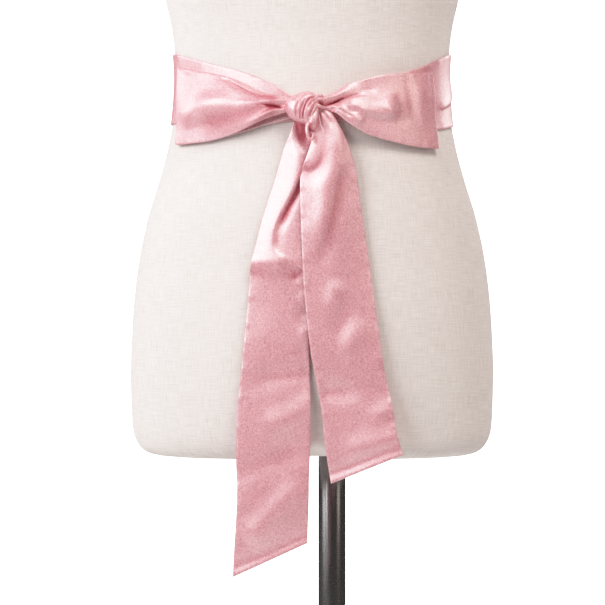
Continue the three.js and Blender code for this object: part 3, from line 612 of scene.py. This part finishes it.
def cloth(name, grid, crease_shade, wall=WALL, ring=False, end_hem=False):
    """A closed wall of cloth round a grid of middle points, i along the strip and j across it."""
    n, m = grid.shape[:2]
    norm = normals_of(grid, ring)
    edge = np.broadcast_to(np.minimum(ACROSS, SASH_WIDTH - ACROSS)[None, :], (n, m))
    if end_hem:
        edge = np.minimum(edge, from_end(grid))
    # the wall thins at its edges, where the two faces are turned and pressed
    thick = wall * (0.4 + 0.6 * np.sqrt(np.clip(edge / 1.5, 0, 1)))
    face_a = grid + norm * (thick / 2)[..., None]
    face_b = grid - norm * (thick / 2)[..., None]
    verts = np.concatenate([face_a.reshape(-1, 3), face_b.reshape(-1, 3)])
    ids = np.arange(n * m).reshape(n, m)
    if ring:
        ids = np.concatenate([ids, ids[:1]])
    a, b, c, d = ids[:-1, :-1].ravel(), ids[1:, :-1].ravel(), ids[1:, 1:].ravel(), ids[:-1, 1:].ravel()
    k = n * m
    faces = [np.stack([a, b, c, d], -1), np.stack([a + k, d + k, c + k, b + k], -1)]
    p, q = ids[:-1, 0], ids[1:, 0]
    faces.append(np.stack([p, p + k, q + k, q], -1))
    p, q = ids[:-1, -1], ids[1:, -1]
    faces.append(np.stack([p, q, q + k, p + k], -1))
    if not ring:
        p, q = ids[0, :-1], ids[0, 1:]
        faces.append(np.stack([p, q, q + k, p + k], -1))
        p, q = ids[-1, :-1], ids[-1, 1:]
        faces.append(np.stack([p, p + k, q + k, q], -1))
    faces = np.concatenate(faces)
    # faces look out of the wall
    v = verts[faces]
    if np.einsum("ij,ij->i", v[:, 0], np.cross(v[:, 1], v[:, 2])).sum() + np.einsum(
        "ij,ij->i", v[:, 0], np.cross(v[:, 2], v[:, 3])
    ).sum() < 0:
        faces = faces[:, ::-1]
    step = np.linalg.norm(np.diff(grid, axis=0), axis=-1).mean(1)
    run = np.concatenate([[0], np.cumsum(step)])
    uv = np.stack(np.broadcast_arrays(ACROSS[None, :], run[:, None]), -1).reshape(-1, 2) * MM
    # the distance to the hem and the painted crease shade go to the material as attributes
    extra = [("hem", np.tile(edge.ravel(), 2)), ("crease_shade", np.tile(crease_shade.ravel(), 2))]
    return finish_mesh(name, verts, faces.tolist(), np.concatenate([uv, uv]), extra)


# ------------------------------------------------------------------ dress form
def notch(x, y):
    fade = np.clip((np.abs(y) - 26) / 36, 0, 1)
    return NOTCH_H * np.exp(-(((x - NOTCH_X) / NOTCH_W) ** 2)) * fade * fade * (3 - 2 * fade)


def build_form():
    heights = np.concatenate(
        [[703, 703.4, 704.1, 705.2, 706.8, 709, 712], np.arange(716, 1500, 4.0), np.arange(1500, 1538, 4), [1538, 1540, 1541.3, 1542]]
    )
    steps = 192
    phi = np.arange(steps) / steps * 2 * math.pi
    grid, _ = form_point(phi[None, :], heights[:, None])
    grid[..., 2] += notch(grid[..., 0], grid[..., 1]) * np.clip(1 - (grid[..., 2] - FORM_BOTTOM) / 42, 0, 1)
    n = len(heights)
    verts = grid.reshape(-1, 3)
    ids = np.arange(n * steps).reshape(n, steps)
    ids = np.concatenate([ids, ids[:, :1]], 1)
    a, b, c, d = ids[:-1, :-1].ravel(), ids[:-1, 1:].ravel(), ids[1:, 1:].ravel(), ids[1:, :-1].ravel()
    faces = np.stack([a, b, c, d], -1).tolist()
    inner = np.stack([FORM_X / 2 + 50 * np.sin(phi), -24 * np.cos(phi), np.full(steps, FORM_BOTTOM)], -1)
    base = len(verts)
    low = base + steps
    high = low + 1
    verts = np.concatenate([verts, inner, [[FORM_X / 2, 0, FORM_BOTTOM]], [[FORM_X, 0, 1545.5]]])
    for k in range(steps):
        k2 = (k + 1) % steps
        faces.append([ids[0, k + 1], ids[0, k], base + k, base + k2])
        faces.append([base + k2, base + k, low])
        faces.append([ids[-1, k], ids[-1, k + 1], high])
    faces = [[int(i) for i in f] for f in faces]
    # cover's own coordinates: round the body in real length, and up
    uv = np.stack([np.broadcast_to(phi[None, :] * 135, (n, steps)), grid[..., 2]], -1).reshape(-1, 2)
    uv = np.concatenate([uv, inner[:, :2], [[0, 0]], [[0, 1545]]]) * MM
    return finish_mesh("form_cover", verts, faces, uv)


def lathe(name, profile, steps=96):
    """A closed turned shape about the pole's axis from (radius, z) points, its ends on the axis."""
    phi = np.arange(steps) / steps * 2 * math.pi
    inner = np.array([p for p in profile if p[0] > 0], float)
    grid = np.stack(
        [
            inner[:, :1] * np.sin(phi)[None, :],
            -inner[:, :1] * np.cos(phi)[None, :],
            np.broadcast_to(inner[:, 1:2], (len(inner), steps)),
        ],
        -1,
    )
    verts = grid.reshape(-1, 3)
    n = len(inner)
    low, high = len(verts), len(verts) + 1
    verts = np.concatenate([verts, [[0, 0, profile[0][1]], [0, 0, profile[-1][1]]]])
    faces = []
    for i in range(n - 1):
        for k in range(steps):
            k2 = (k + 1) % steps
            faces.append([i * steps + k, i * steps + k2, (i + 1) * steps + k2, (i + 1) * steps + k])
    for k in range(steps):
        k2 = (k + 1) % steps
        faces.append([low, k2, k])
        faces.append([high, (n - 1) * steps + k, (n - 1) * steps + k2])
    obj = finish_mesh(name, verts, faces)
    obj.data.set_sharp_from_angle(angle=math.radians(35))
    return obj


def build_pole():
    r, low, high = 13.25, 8.35, FORM_BOTTOM - 0.35
    return lathe("pole_tube", [(0, low), (r - 0.8, low), (r - 0.25, low + 0.25), (r, low + 0.8), (r, high - 0.8), (r - 0.25, high - 0.25), (r - 0.8, high), (0, high)])


def build_base():
    top, radius, bore = 8.0, 160.0, 13.6
    rim = [(radius - 2 + 2 * math.sin(a), top - 2 + 2 * math.cos(a)) for a in np.radians([90, 67, 45, 22, 0])]
    foot = [(radius - 1.5 + 1.5 * math.cos(a), 1.5 - 1.5 * math.sin(a)) for a in np.radians([90, 60, 30, 0])]
    fillet = [(21 + 3 - 3 * math.sin(a), top + 3 - 3 * math.cos(a)) for a in np.radians([0, 30, 60, 90])]
    crown = [(19 + 2 * math.cos(a), 40 + 2 * math.sin(a)) for a in np.radians([0, 30, 60, 90])]
    return lathe("base_plate", [(0, 0)] + foot + rim + fillet + crown + [(bore, 42), (bore, top), (0, top)])


# ------------------------------------------------------------------ sash pieces
def build_band(name):
    steps = 560
    phi = np.linspace(-180, 180, steps, endpoint=False)
    rows = np.array(BAND_ROWS, float)
    top, bottom = monotone(rows[:, 0], rows[:, 1], phi), monotone(rows[:, 0], rows[:, 2], phi)
    z = top[:, None] + (bottom - top)[:, None] * (ACROSS / SASH_WIDTH)[None, :]
    grid, out = form_point(np.radians(phi)[:, None], z, BAND_LIFT)
    front = (np.cos(np.radians(phi)) > 0).astype(float)[:, None]
    grid, crease_shade = creases(grid, out, BAND_CREASES, front)
    grid, _ = creases(grid, out, BAND_BACK_CREASES, 1 - front)
    return cloth(name, turned(grid, out, BAND_SLACK), crease_shade, ring=True)


def loop_grid(front_rows, back_rows, per_row=22):
    """Front layer, rounded turn and back layer of one loop as a grid, its way out and where the front is."""
    fr, br = np.array(front_rows, float), np.array(back_rows, float)
    q = ACROSS / SASH_WIDTH * 4
    side = math.copysign(1, fr[1, 0])
    v = through(fr, np.linspace(0, len(fr) - 1, per_row * (len(fr) - 1) + 1))
    phi = np.radians(v[:, :1] + (v[:, 1:2] - v[:, :1]) * q / 4)
    z = through(v[:, [2, 4, 6, 8, 10]].T, q).T
    lift = through(v[:, [3, 5, 7, 9, 11]].T, q).T
    p, o = form_point(phi, z, lift)
    parts, outs = [p], [o]
    end_phi, end_z, end_lift = phi[-1], z[-1], lift[-1]
    back_phi = np.full(len(q), math.radians(br[0, 0]))
    back_z = br[0, 1] + (br[0, 2] - br[0, 1]) * q / 4
    turn = 14
    for k in range(1, turn):
        a = k / turn * math.pi
        r = (end_lift - BACK_LIFT) / 2
        share = k / turn
        at = end_phi + (back_phi - end_phi) * share + side * r * math.sin(a) / TURN_RADIUS
        p, o = form_point(at, end_z + (back_z - end_z) * share, BACK_LIFT + r + r * math.cos(a))
        parts.append(p[None])
        outs.append(o[None])
    b = through(br, np.linspace(0, len(br) - 1, 14 * (len(br) - 1) + 1))
    z = b[:, 1:2] + (b[:, 2:3] - b[:, 1:2]) * q[None, :] / 4
    p, o = form_point(np.radians(b[:, :1]), z, BACK_LIFT)
    parts.append(p)
    outs.append(o)
    front = np.zeros(sum(len(g) for g in parts))
    front[: len(parts[0])] = 1
    front[len(parts[0]) : len(parts[0]) + turn - 1] = np.linspace(1, 0, turn - 1)
    return np.concatenate(parts), np.concatenate(outs), front[:, None]


def build_loop(name, front_rows, back_rows, folds, shade_rows):
    grid, out, front = loop_grid(front_rows, back_rows)
    grid, crease_shade = creases(grid, out, folds, front, shade_rows)
    return cloth(name, turned(grid, out, LOOP_SLACK), crease_shade)


def build_tail(name, rows, places, folds, shade_rows, steps=380):
    rows = np.array(rows, float)
    v = through(rows, np.linspace(0, len(rows) - 1, steps))
    u = ACROSS / SASH_WIDTH
    x = v[:, 1:2] + (v[:, 3:4] - v[:, 1:2]) * u
    z = v[:, 0:1] + (v[:, 2:3] - v[:, 0:1]) * u
    lift = np.stack([monotone(places, r, u) for r in v[:, 4:9]])
    grid = np.stack([x, front_y(x, z) - lift, z], -1)
    out = np.zeros_like(grid)
    out[..., 1] = -1
    grid, crease_shade = creases(grid, out, folds, 1.0, shade_rows)
    return cloth(name, turned(grid, out, TAIL_SLACK, end=True), crease_shade, end_hem=True)


def strand(depth, rows, rings=28, sides=20):
    """A flattened closed tube along rows of (x, z, lift, half width), half as deep as depth says."""
    v = through(np.array(rows, float), np.linspace(0, len(rows) - 1, rings))
    x, z, lift, half = v.T
    y = front_y(x, z) - lift
    line = np.stack([x, y, z], -1)
    step = np.gradient(line, axis=0)
    step /= np.linalg.norm(step, axis=1, keepdims=True)
    wide = np.cross(step, [0.0, -1.0, 0.0])
    wide /= np.maximum(np.linalg.norm(wide, axis=1, keepdims=True), 1e-6)
    deep = np.cross(wide, step)
    a = np.arange(sides) / sides * 2 * math.pi
    ends = np.sqrt(np.clip(1 - (np.linspace(-1, 1, rings) ** 2) ** 6, 0.02, 1))
    ring = (
        line[:, None]
        + wide[:, None] * (np.cos(a)[None, :] * (half * ends)[:, None])[..., None]
        + deep[:, None] * (np.sin(a)[None, :] * (np.minimum(depth, half * 2.2) * ends)[:, None])[..., None]
    )
    verts = np.concatenate([ring.reshape(-1, 3), line[:1], line[-1:]])
    ids = np.arange(rings * sides).reshape(rings, sides)
    ids = np.concatenate([ids, ids[:, :1]], 1)
    f = np.stack([ids[:-1, :-1].ravel(), ids[1:, :-1].ravel(), ids[1:, 1:].ravel(), ids[:-1, 1:].ravel()], -1).tolist()
    first, last = rings * sides, rings * sides + 1
    for k in range(sides):
        f.append([first, int(ids[0, k]), int(ids[0, k + 1])])
        f.append([last, int(ids[-1, k + 1]), int(ids[-1, k])])
    return verts, f


def knot_wrap(rings=76, steps=360):
    """The wrap of the knot as a closed rounded body inside its outline, with its pleats pressed in."""
    outline = np.array(KNOT_OUTLINE, float)
    loop = np.concatenate([outline, outline[:1], outline[1:2]])
    edge = through(np.concatenate([outline[-1:], loop]), 1 + np.arange(steps) / steps * len(outline))
    middle = outline.mean(0)
    r = np.sin(np.linspace(0, 1, rings + 1)[1:] * math.pi / 2)
    flat = middle + (edge[None] - middle) * r[:, None, None]
    full = np.sqrt(1 - r**4)[:, None] * np.ones((1, steps))
    front = np.concatenate([flat, np.zeros(flat.shape[:2] + (1,))], -1)[..., [0, 2, 1]]
    shape = {}
    for side, depth in (("front", KNOT_FRONT), ("back", -KNOT_BACK)):
        grid = front.copy()
        grid[..., 1] = front_y(grid[..., 0], grid[..., 2]) - KNOT_RIM - depth * full
        if side == "front":
            out = np.zeros_like(grid)
            out[..., 1] = -1
            grid, _ = creases(grid, out, KNOT_CREASES, full)
        shape[side] = grid
    centre = [[middle[0], shape[side][0, :, 1].mean(), middle[1]] for side in ("front", "back")]
    verts = np.concatenate([shape["front"].reshape(-1, 3), shape["back"][:-1].reshape(-1, 3), centre])
    ids_f = np.arange(rings * steps).reshape(rings, steps)
    ids_b = np.concatenate([rings * steps + np.arange((rings - 1) * steps).reshape(rings - 1, steps), ids_f[-1:]])
    faces = []
    for ids, centre_id in ((ids_f, len(verts) - 2), (ids_b, len(verts) - 1)):
        ids = np.concatenate([ids, ids[:, :1]], 1)
        quads = np.stack([ids[:-1, :-1].ravel(), ids[1:, :-1].ravel(), ids[1:, 1:].ravel(), ids[:-1, 1:].ravel()], -1).tolist()
        fan = [[centre_id, int(ids[0, k]), int(ids[0, k + 1])] for k in range(steps)]
        turned = quads + fan
        faces += turned if centre_id == len(verts) - 2 else [f[::-1] for f in turned]
    return verts, faces


def build_knot(name):
    """The knot: its pleated wrap, the strand under it and the gathered ends beside it, run into one skin."""
    verts, faces = knot_wrap()
    verts, count = [verts], len(verts)
    for depth, rows in KNOT_STRANDS:
        p, f = strand(depth, rows)
        verts.append(p)
        faces += [[i + count for i in face] for face in f]
        count += len(p)
    rough = finish_mesh(name + "_rough", np.concatenate(verts), faces)
    remesh = rough.modifiers.new("one_skin", "REMESH")
    remesh.mode = "VOXEL"
    remesh.voxel_size = 0.00032
    smooth = rough.modifiers.new("soften", "SMOOTH")
    smooth.factor, smooth.iterations = 0.5, 3
    mesh = bpy.data.meshes.new_from_object(rough.evaluated_get(bpy.context.evaluated_depsgraph_get()))
    bpy.data.objects.remove(rough, do_unlink=True)
    mesh.name = name
    mesh.polygons.foreach_set("use_smooth", [True] * len(mesh.polygons))
    flat = np.zeros(len(mesh.vertices) * 3, np.float32)
    mesh.vertices.foreach_get("co", flat)
    x, y, z = flat.reshape(-1, 3).T.astype(float) / MM
    # painted shade: the knot's colour darkens in its pleats, in the curl and under the pillow, standing in for the
    # shade there
    _, sunk = crease_amounts(x, z, KNOT_CREASES)
    inside, _ = crease_amounts(x, z, KNOT_SHADE)
    crease_shade = mesh.attributes.new("crease_shade", "FLOAT", "POINT")
    depth = np.clip(sunk + inside, 0, 1) * (y < front_y(x, z) - KNOT_RIM)
    crease_shade.data.foreach_set("value", depth.astype(np.float32))
    obj = bpy.data.objects.new(name, mesh)
    bpy.context.scene.collection.objects.link(obj)
    return obj


# ------------------------------------------------------------------ materials
def shader(name):
    m = bpy.data.materials.new(name)
    m.use_nodes = True
    nt = m.node_tree
    nt.nodes.clear()
    out = nt.nodes.new("ShaderNodeOutputMaterial")
    bsdf = nt.nodes.new("ShaderNodeBsdfPrincipled")
    nt.links.new(bsdf.outputs[0], out.inputs[0])
    return m, nt, bsdf


def node(nt, kind, **values):
    n = nt.nodes.new(kind)
    for key, value in values.items():
        if key in n.inputs:
            n.inputs[key].default_value = value
        else:
            setattr(n, key, value)
    return n


def satin_material(name, woven=True):
    """Crepe-backed satin: a deep pink with a broad pale sheen that runs across the threads."""
    m, nt, p = shader(name)
    place = node(nt, "ShaderNodeTexCoord")
    grain = node(nt, "ShaderNodeTexNoise", Scale=720.0, Detail=2.0, Roughness=0.6)
    nt.links.new(place.outputs["Object"], grain.inputs["Vector"])
    cloud = node(nt, "ShaderNodeTexNoise", Scale=45.0, Detail=2.0, Roughness=0.5)
    nt.links.new(place.outputs["Object"], cloud.inputs["Vector"])
    tone = node(nt, "ShaderNodeValToRGB")
    tone.color_ramp.elements[0].position = 0.32
    tone.color_ramp.elements[0].color = (0.62, 0.14, 0.185, 1)
    tone.color_ramp.elements[1].position = 0.68
    tone.color_ramp.elements[1].color = (1.0, 0.49, 0.56, 1)
    nt.links.new(grain.outputs[0], tone.inputs[0])
    drift = node(nt, "ShaderNodeValToRGB")
    drift.color_ramp.elements[0].position = 0.35
    drift.color_ramp.elements[0].color = (0.95, 0.93, 0.93, 1)
    drift.color_ramp.elements[1].position = 0.65
    drift.color_ramp.elements[1].color = (1, 1, 1, 1)
    nt.links.new(cloud.outputs[0], drift.inputs[0])
    dye = node(nt, "ShaderNodeMixRGB", blend_type="MULTIPLY")
    dye.inputs[0].default_value = 1.0
    nt.links.new(tone.outputs[0], dye.inputs[1])
    nt.links.new(drift.outputs[0], dye.inputs[2])
    # painted shade: the colour and the tint of the sheen darken where the cloth lies deep in a crease or hollow,
    # standing in for the shade that falls there
    depth = node(nt, "ShaderNodeAttribute", attribute_name="crease_shade")
    deep = node(nt, "ShaderNodeValToRGB")
    deep.color_ramp.interpolation = "EASE"
    deep.color_ramp.elements[0].color = (1, 1, 1, 1)
    deep.color_ramp.elements[1].color = (0.56, 0.27, 0.31, 1)
    nt.links.new(depth.outputs["Fac"], deep.inputs[0])
    shaded_dye = node(nt, "ShaderNodeMixRGB", blend_type="MULTIPLY")
    shaded_dye.inputs[0].default_value = 1.0
    nt.links.new(dye.outputs[0], shaded_dye.inputs[1])
    nt.links.new(deep.outputs[0], shaded_dye.inputs[2])
    nt.links.new(shaded_dye.outputs[0], p.inputs["Base Color"])
    nt.links.new(deep.outputs[0], p.inputs["Specular Tint"])
    fine = node(nt, "ShaderNodeTexNoise", Scale=1700.0, Detail=1.0, Roughness=0.5)
    nt.links.new(place.outputs["Object"], fine.inputs["Vector"])
    bump = node(nt, "ShaderNodeBump", Strength=0.6, Distance=0.00022)
    nt.links.new(fine.outputs[0], bump.inputs["Height"])
    nt.links.new(bump.outputs[0], p.inputs["Normal"])
    p.inputs["Roughness"].default_value = 0.45
    p.inputs["Specular IOR Level"].default_value = 1.0
    p.inputs["IOR"].default_value = 2.4
    p.inputs["Sheen Weight"].default_value = 0.12
    p.inputs["Sheen Roughness"].default_value = 0.35
    if woven:
        # painted shade: the colour darkens within about a millimetre of each turned edge, standing in for the shade
        # where the edge rolls back
        hem = node(nt, "ShaderNodeAttribute", attribute_name="hem")
        line = node(nt, "ShaderNodeValToRGB")
        line.color_ramp.interpolation = "EASE"
        stops = line.color_ramp.elements
        stops[0].position, stops[0].color = 0.0, (0.86, 0.80, 0.80, 1)
        stops[1].position, stops[1].color = 0.09, (1, 1, 1, 1)
        span = node(nt, "ShaderNodeMapRange")
        span.inputs["From Max"].default_value = 10.0
        nt.links.new(hem.outputs["Fac"], span.inputs["Value"])
        nt.links.new(span.outputs[0], line.inputs[0])
        edge_shaded = node(nt, "ShaderNodeMixRGB", blend_type="MULTIPLY")
        edge_shaded.inputs[0].default_value = 1.0
        nt.links.new(shaded_dye.outputs[0], edge_shaded.inputs[1])
        nt.links.new(line.outputs[0], edge_shaded.inputs[2])
        nt.links.new(edge_shaded.outputs[0], p.inputs["Base Color"])
        along = node(nt, "ShaderNodeTangent", direction_type="UV_MAP", uv_map="cloth")
        nt.links.new(along.outputs[0], p.inputs["Tangent"])
        p.inputs["Anisotropic"].default_value = 0.45
    return m


def linen_material():
    """Plain-woven linen: slubby threads both ways over a cream cover."""
    m, nt, p = shader("linen_cream")
    place = node(nt, "ShaderNodeUVMap", uv_map="cloth")
    threads = []
    for stretch in ((1500.0, 60.0, 1.0), (60.0, 1300.0, 1.0)):
        scale = node(nt, "ShaderNodeMapping")
        scale.inputs["Scale"].default_value = stretch
        nt.links.new(place.outputs[0], scale.inputs["Vector"])
        slub = node(nt, "ShaderNodeTexNoise", Scale=1.0, Detail=2.0, Roughness=0.6)
        nt.links.new(scale.outputs[0], slub.inputs["Vector"])
        threads.append(slub)
    weave = node(nt, "ShaderNodeMath", operation="ADD")
    nt.links.new(threads[0].outputs[0], weave.inputs[0])
    nt.links.new(threads[1].outputs[0], weave.inputs[1])
    half = node(nt, "ShaderNodeMath", operation="MULTIPLY")
    half.inputs[1].default_value = 0.5
    nt.links.new(weave.outputs[0], half.inputs[0])
    tone = node(nt, "ShaderNodeValToRGB")
    tone.color_ramp.elements[0].position = 0.32
    tone.color_ramp.elements[0].color = (0.70, 0.636, 0.608, 1)
    tone.color_ramp.elements[1].position = 0.62
    tone.color_ramp.elements[1].color = (0.892, 0.833, 0.812, 1)
    nt.links.new(half.outputs[0], tone.inputs[0])
    nt.links.new(tone.outputs[0], p.inputs["Base Color"])
    bump = node(nt, "ShaderNodeBump", Strength=0.35, Distance=0.0003)
    nt.links.new(half.outputs[0], bump.inputs["Height"])
    nt.links.new(bump.outputs[0], p.inputs["Normal"])
    p.inputs["Roughness"].default_value = 0.95
    p.inputs["Specular IOR Level"].default_value = 0.15
    p.inputs["Sheen Weight"].default_value = 0.06
    return m


def metal_material():
    """Semi-gloss gunmetal tube and plate, very finely brushed."""
    m, nt, p = shader("gunmetal")
    place = node(nt, "ShaderNodeTexCoord")
    scale = node(nt, "ShaderNodeMapping")
    scale.inputs["Scale"].default_value = (900.0, 900.0, 25.0)
    nt.links.new(place.outputs["Object"], scale.inputs["Vector"])
    grain = node(nt, "ShaderNodeTexNoise", Scale=1.0, Detail=2.0)
    nt.links.new(scale.outputs[0], grain.inputs["Vector"])
    tone = node(nt, "ShaderNodeValToRGB")
    tone.color_ramp.elements[0].color = (0.205, 0.197, 0.2, 1)
    tone.color_ramp.elements[1].color = (0.23, 0.222, 0.225, 1)
    nt.links.new(grain.outputs[0], tone.inputs[0])
    nt.links.new(tone.outputs[0], p.inputs["Base Color"])
    p.inputs["Metallic"].default_value = 0.85
    p.inputs["Roughness"].default_value = 0.24
    return m


def floor_material():
    m, nt, p = shader("pale_floor")
    p.inputs["Base Color"].default_value = (0.86, 0.86, 0.86, 1)
    p.inputs["Roughness"].default_value = 0.9
    return m


# ------------------------------------------------------------------ build
satin, wrap = satin_material("satin_pink"), satin_material("satin_pink_knot", woven=False)
linen, metal = linen_material(), metal_material()

form = build_form()
pole = build_pole()
base = build_base()
band = build_band("sash_band_cloth")
loop_left = build_loop("sash_loop_left_cloth", LEFT_LOOP_ROWS, LEFT_BACK_ROWS, LEFT_LOOP_CREASES, LEFT_LOOP_SHADE)
loop_right = build_loop("sash_loop_right_cloth", RIGHT_LOOP_ROWS, RIGHT_BACK_ROWS, RIGHT_LOOP_CREASES, RIGHT_LOOP_SHADE)
tail_left = build_tail("sash_tail_left_cloth", LEFT_TAIL_ROWS, TAIL_PLACES["left"], LEFT_TAIL_CREASES, LEFT_TAIL_SHADE)
tail_right = build_tail("sash_tail_right_cloth", RIGHT_TAIL_ROWS, TAIL_PLACES["right"], RIGHT_TAIL_CREASES, RIGHT_TAIL_SHADE)
knot = build_knot("sash_knot_cloth")

for piece, stands_for, mat, slot in (
    (form, "form_body", linen, "form_linen"),
    (pole, "stand_pole", metal, "stand_metal"),
    (base, "stand_base", metal, "stand_metal"),
    (band, "sash_band", satin, "sash_satin"),
    (loop_left, "sash_loop_left", satin, "sash_satin"),
    (loop_right, "sash_loop_right", satin, "sash_satin"),
    (tail_left, "sash_tail_left", satin, "sash_satin"),
    (tail_right, "sash_tail_right", satin, "sash_satin"),
    (knot, "sash_knot", wrap, "sash_satin"),
):
    piece.data.materials.append(mat)
    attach(piece, "root")
    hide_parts(stands_for)

# ------------------------------------------------------------------ stage, light, camera
bpy.ops.mesh.primitive_plane_add(size=1, location=(0, -1.0, -0.0005))
floor = bpy.context.object
floor.name = "floor"
floor.scale = (8, 8, 1)
floor.data.materials.append(floor_material())


def softbox(name, azimuth, height, size, power, colour, away=2.2):
    """An area light turned to the sash; azimuth 0 is in front, minus is to the left, height in degrees."""
    az, el = math.radians(azimuth), math.radians(height)
    target = Vector((0, 0, 0.9))
    aim = Vector((math.sin(az) * math.cos(el), -math.cos(az) * math.cos(el), math.sin(el)))
    data = bpy.data.lights.new(name, "AREA")
    data.shape = "RECTANGLE"
    data.size, data.size_y = size
    data.energy = power
    data.color = colour
    obj = bpy.data.objects.new(name, data)
    obj.location = target + aim * away
    obj.rotation_mode = "QUATERNION"
    obj.rotation_quaternion = (-aim).to_track_quat("-Z", "Y")
    bpy.context.scene.collection.objects.link(obj)
    return obj


# name, azimuth, height, size, power, colour
SOFTBOXES = [
    ("key", -42, 22, (1.1, 1.1), 23.0, (1.0, 0.995, 0.99)),
    ("side", -74, 20, (1.1, 1.3), 16.0, (1.0, 0.995, 0.99)),
    ("over", 24, 50, (1.05, 0.8), 23.0, (1.0, 0.94, 0.91)),
    ("fill", 58, 22, (0.9, 1.2), 8.0, (1.0, 0.86, 0.76)),
    ("rim_right", 132, 20, (0.8, 0.8), 12.0, (1.0, 0.98, 0.96)),
    ("rim_left", -118, 20, (0.8, 0.8), 10.0, (1.0, 0.99, 0.98)),
    ("rear", 180, 38, (1.4, 1.0), 26.0, (1.0, 0.98, 0.96)),
]
for row in SOFTBOXES:
    softbox(*row)

world = bpy.data.worlds.new("studio")
bpy.context.scene.world = world
world.use_nodes = True
wn = world.node_tree
wn.nodes.clear()
wout = wn.nodes.new("ShaderNodeOutputWorld")
mix = wn.nodes.new("ShaderNodeMixShader")
ray = wn.nodes.new("ShaderNodeLightPath")
soft = wn.nodes.new("ShaderNodeBackground")
soft.inputs["Color"].default_value = (1.0, 0.93, 0.88, 1)
soft.inputs["Strength"].default_value = 0.06
white = wn.nodes.new("ShaderNodeBackground")
white.inputs["Color"].default_value = (1, 1, 1, 1)
white.inputs["Strength"].default_value = 3.0
wn.links.new(ray.outputs["Is Camera Ray"], mix.inputs[0])
wn.links.new(soft.outputs[0], mix.inputs[1])
wn.links.new(white.outputs[0], mix.inputs[2])
wn.links.new(mix.outputs[0], wout.inputs[0])

cam_data = bpy.data.cameras.new("camera")
cam_data.lens = 2275 * 36 / 605
cam_data.sensor_width = 36
cam = bpy.data.objects.new("camera", cam_data)
cam.location = (-0.0285, -2.2, 0.85)
cam.rotation_euler = (math.pi / 2, 0, 0)
bpy.context.scene.collection.objects.link(cam)
bpy.context.scene.camera = cam
view = bpy.context.scene.view_settings
view.view_transform = "Standard"
view.exposure = 0.12
view.use_curve_mapping = True
# highlights roll off softly to paper white
shoulder = view.curve_mapping
WHITE = 2.4
shoulder.white_level = (WHITE, WHITE, WHITE)
curve = shoulder.curves[3]
SHOULDER = [(0, 0), (0.3, 0.3), (0.6, 0.6), (0.8, 0.765), (1.0, 0.86), (1.3, 0.93), (1.8, 0.985), (WHITE, 1.0)]
while len(curve.points) < len(SHOULDER):
    curve.points.new(1.0, 1.0)
for point, (light, shown) in zip(curve.points, SHOULDER):
    point.location = (light / WHITE, shown)
shoulder.update()
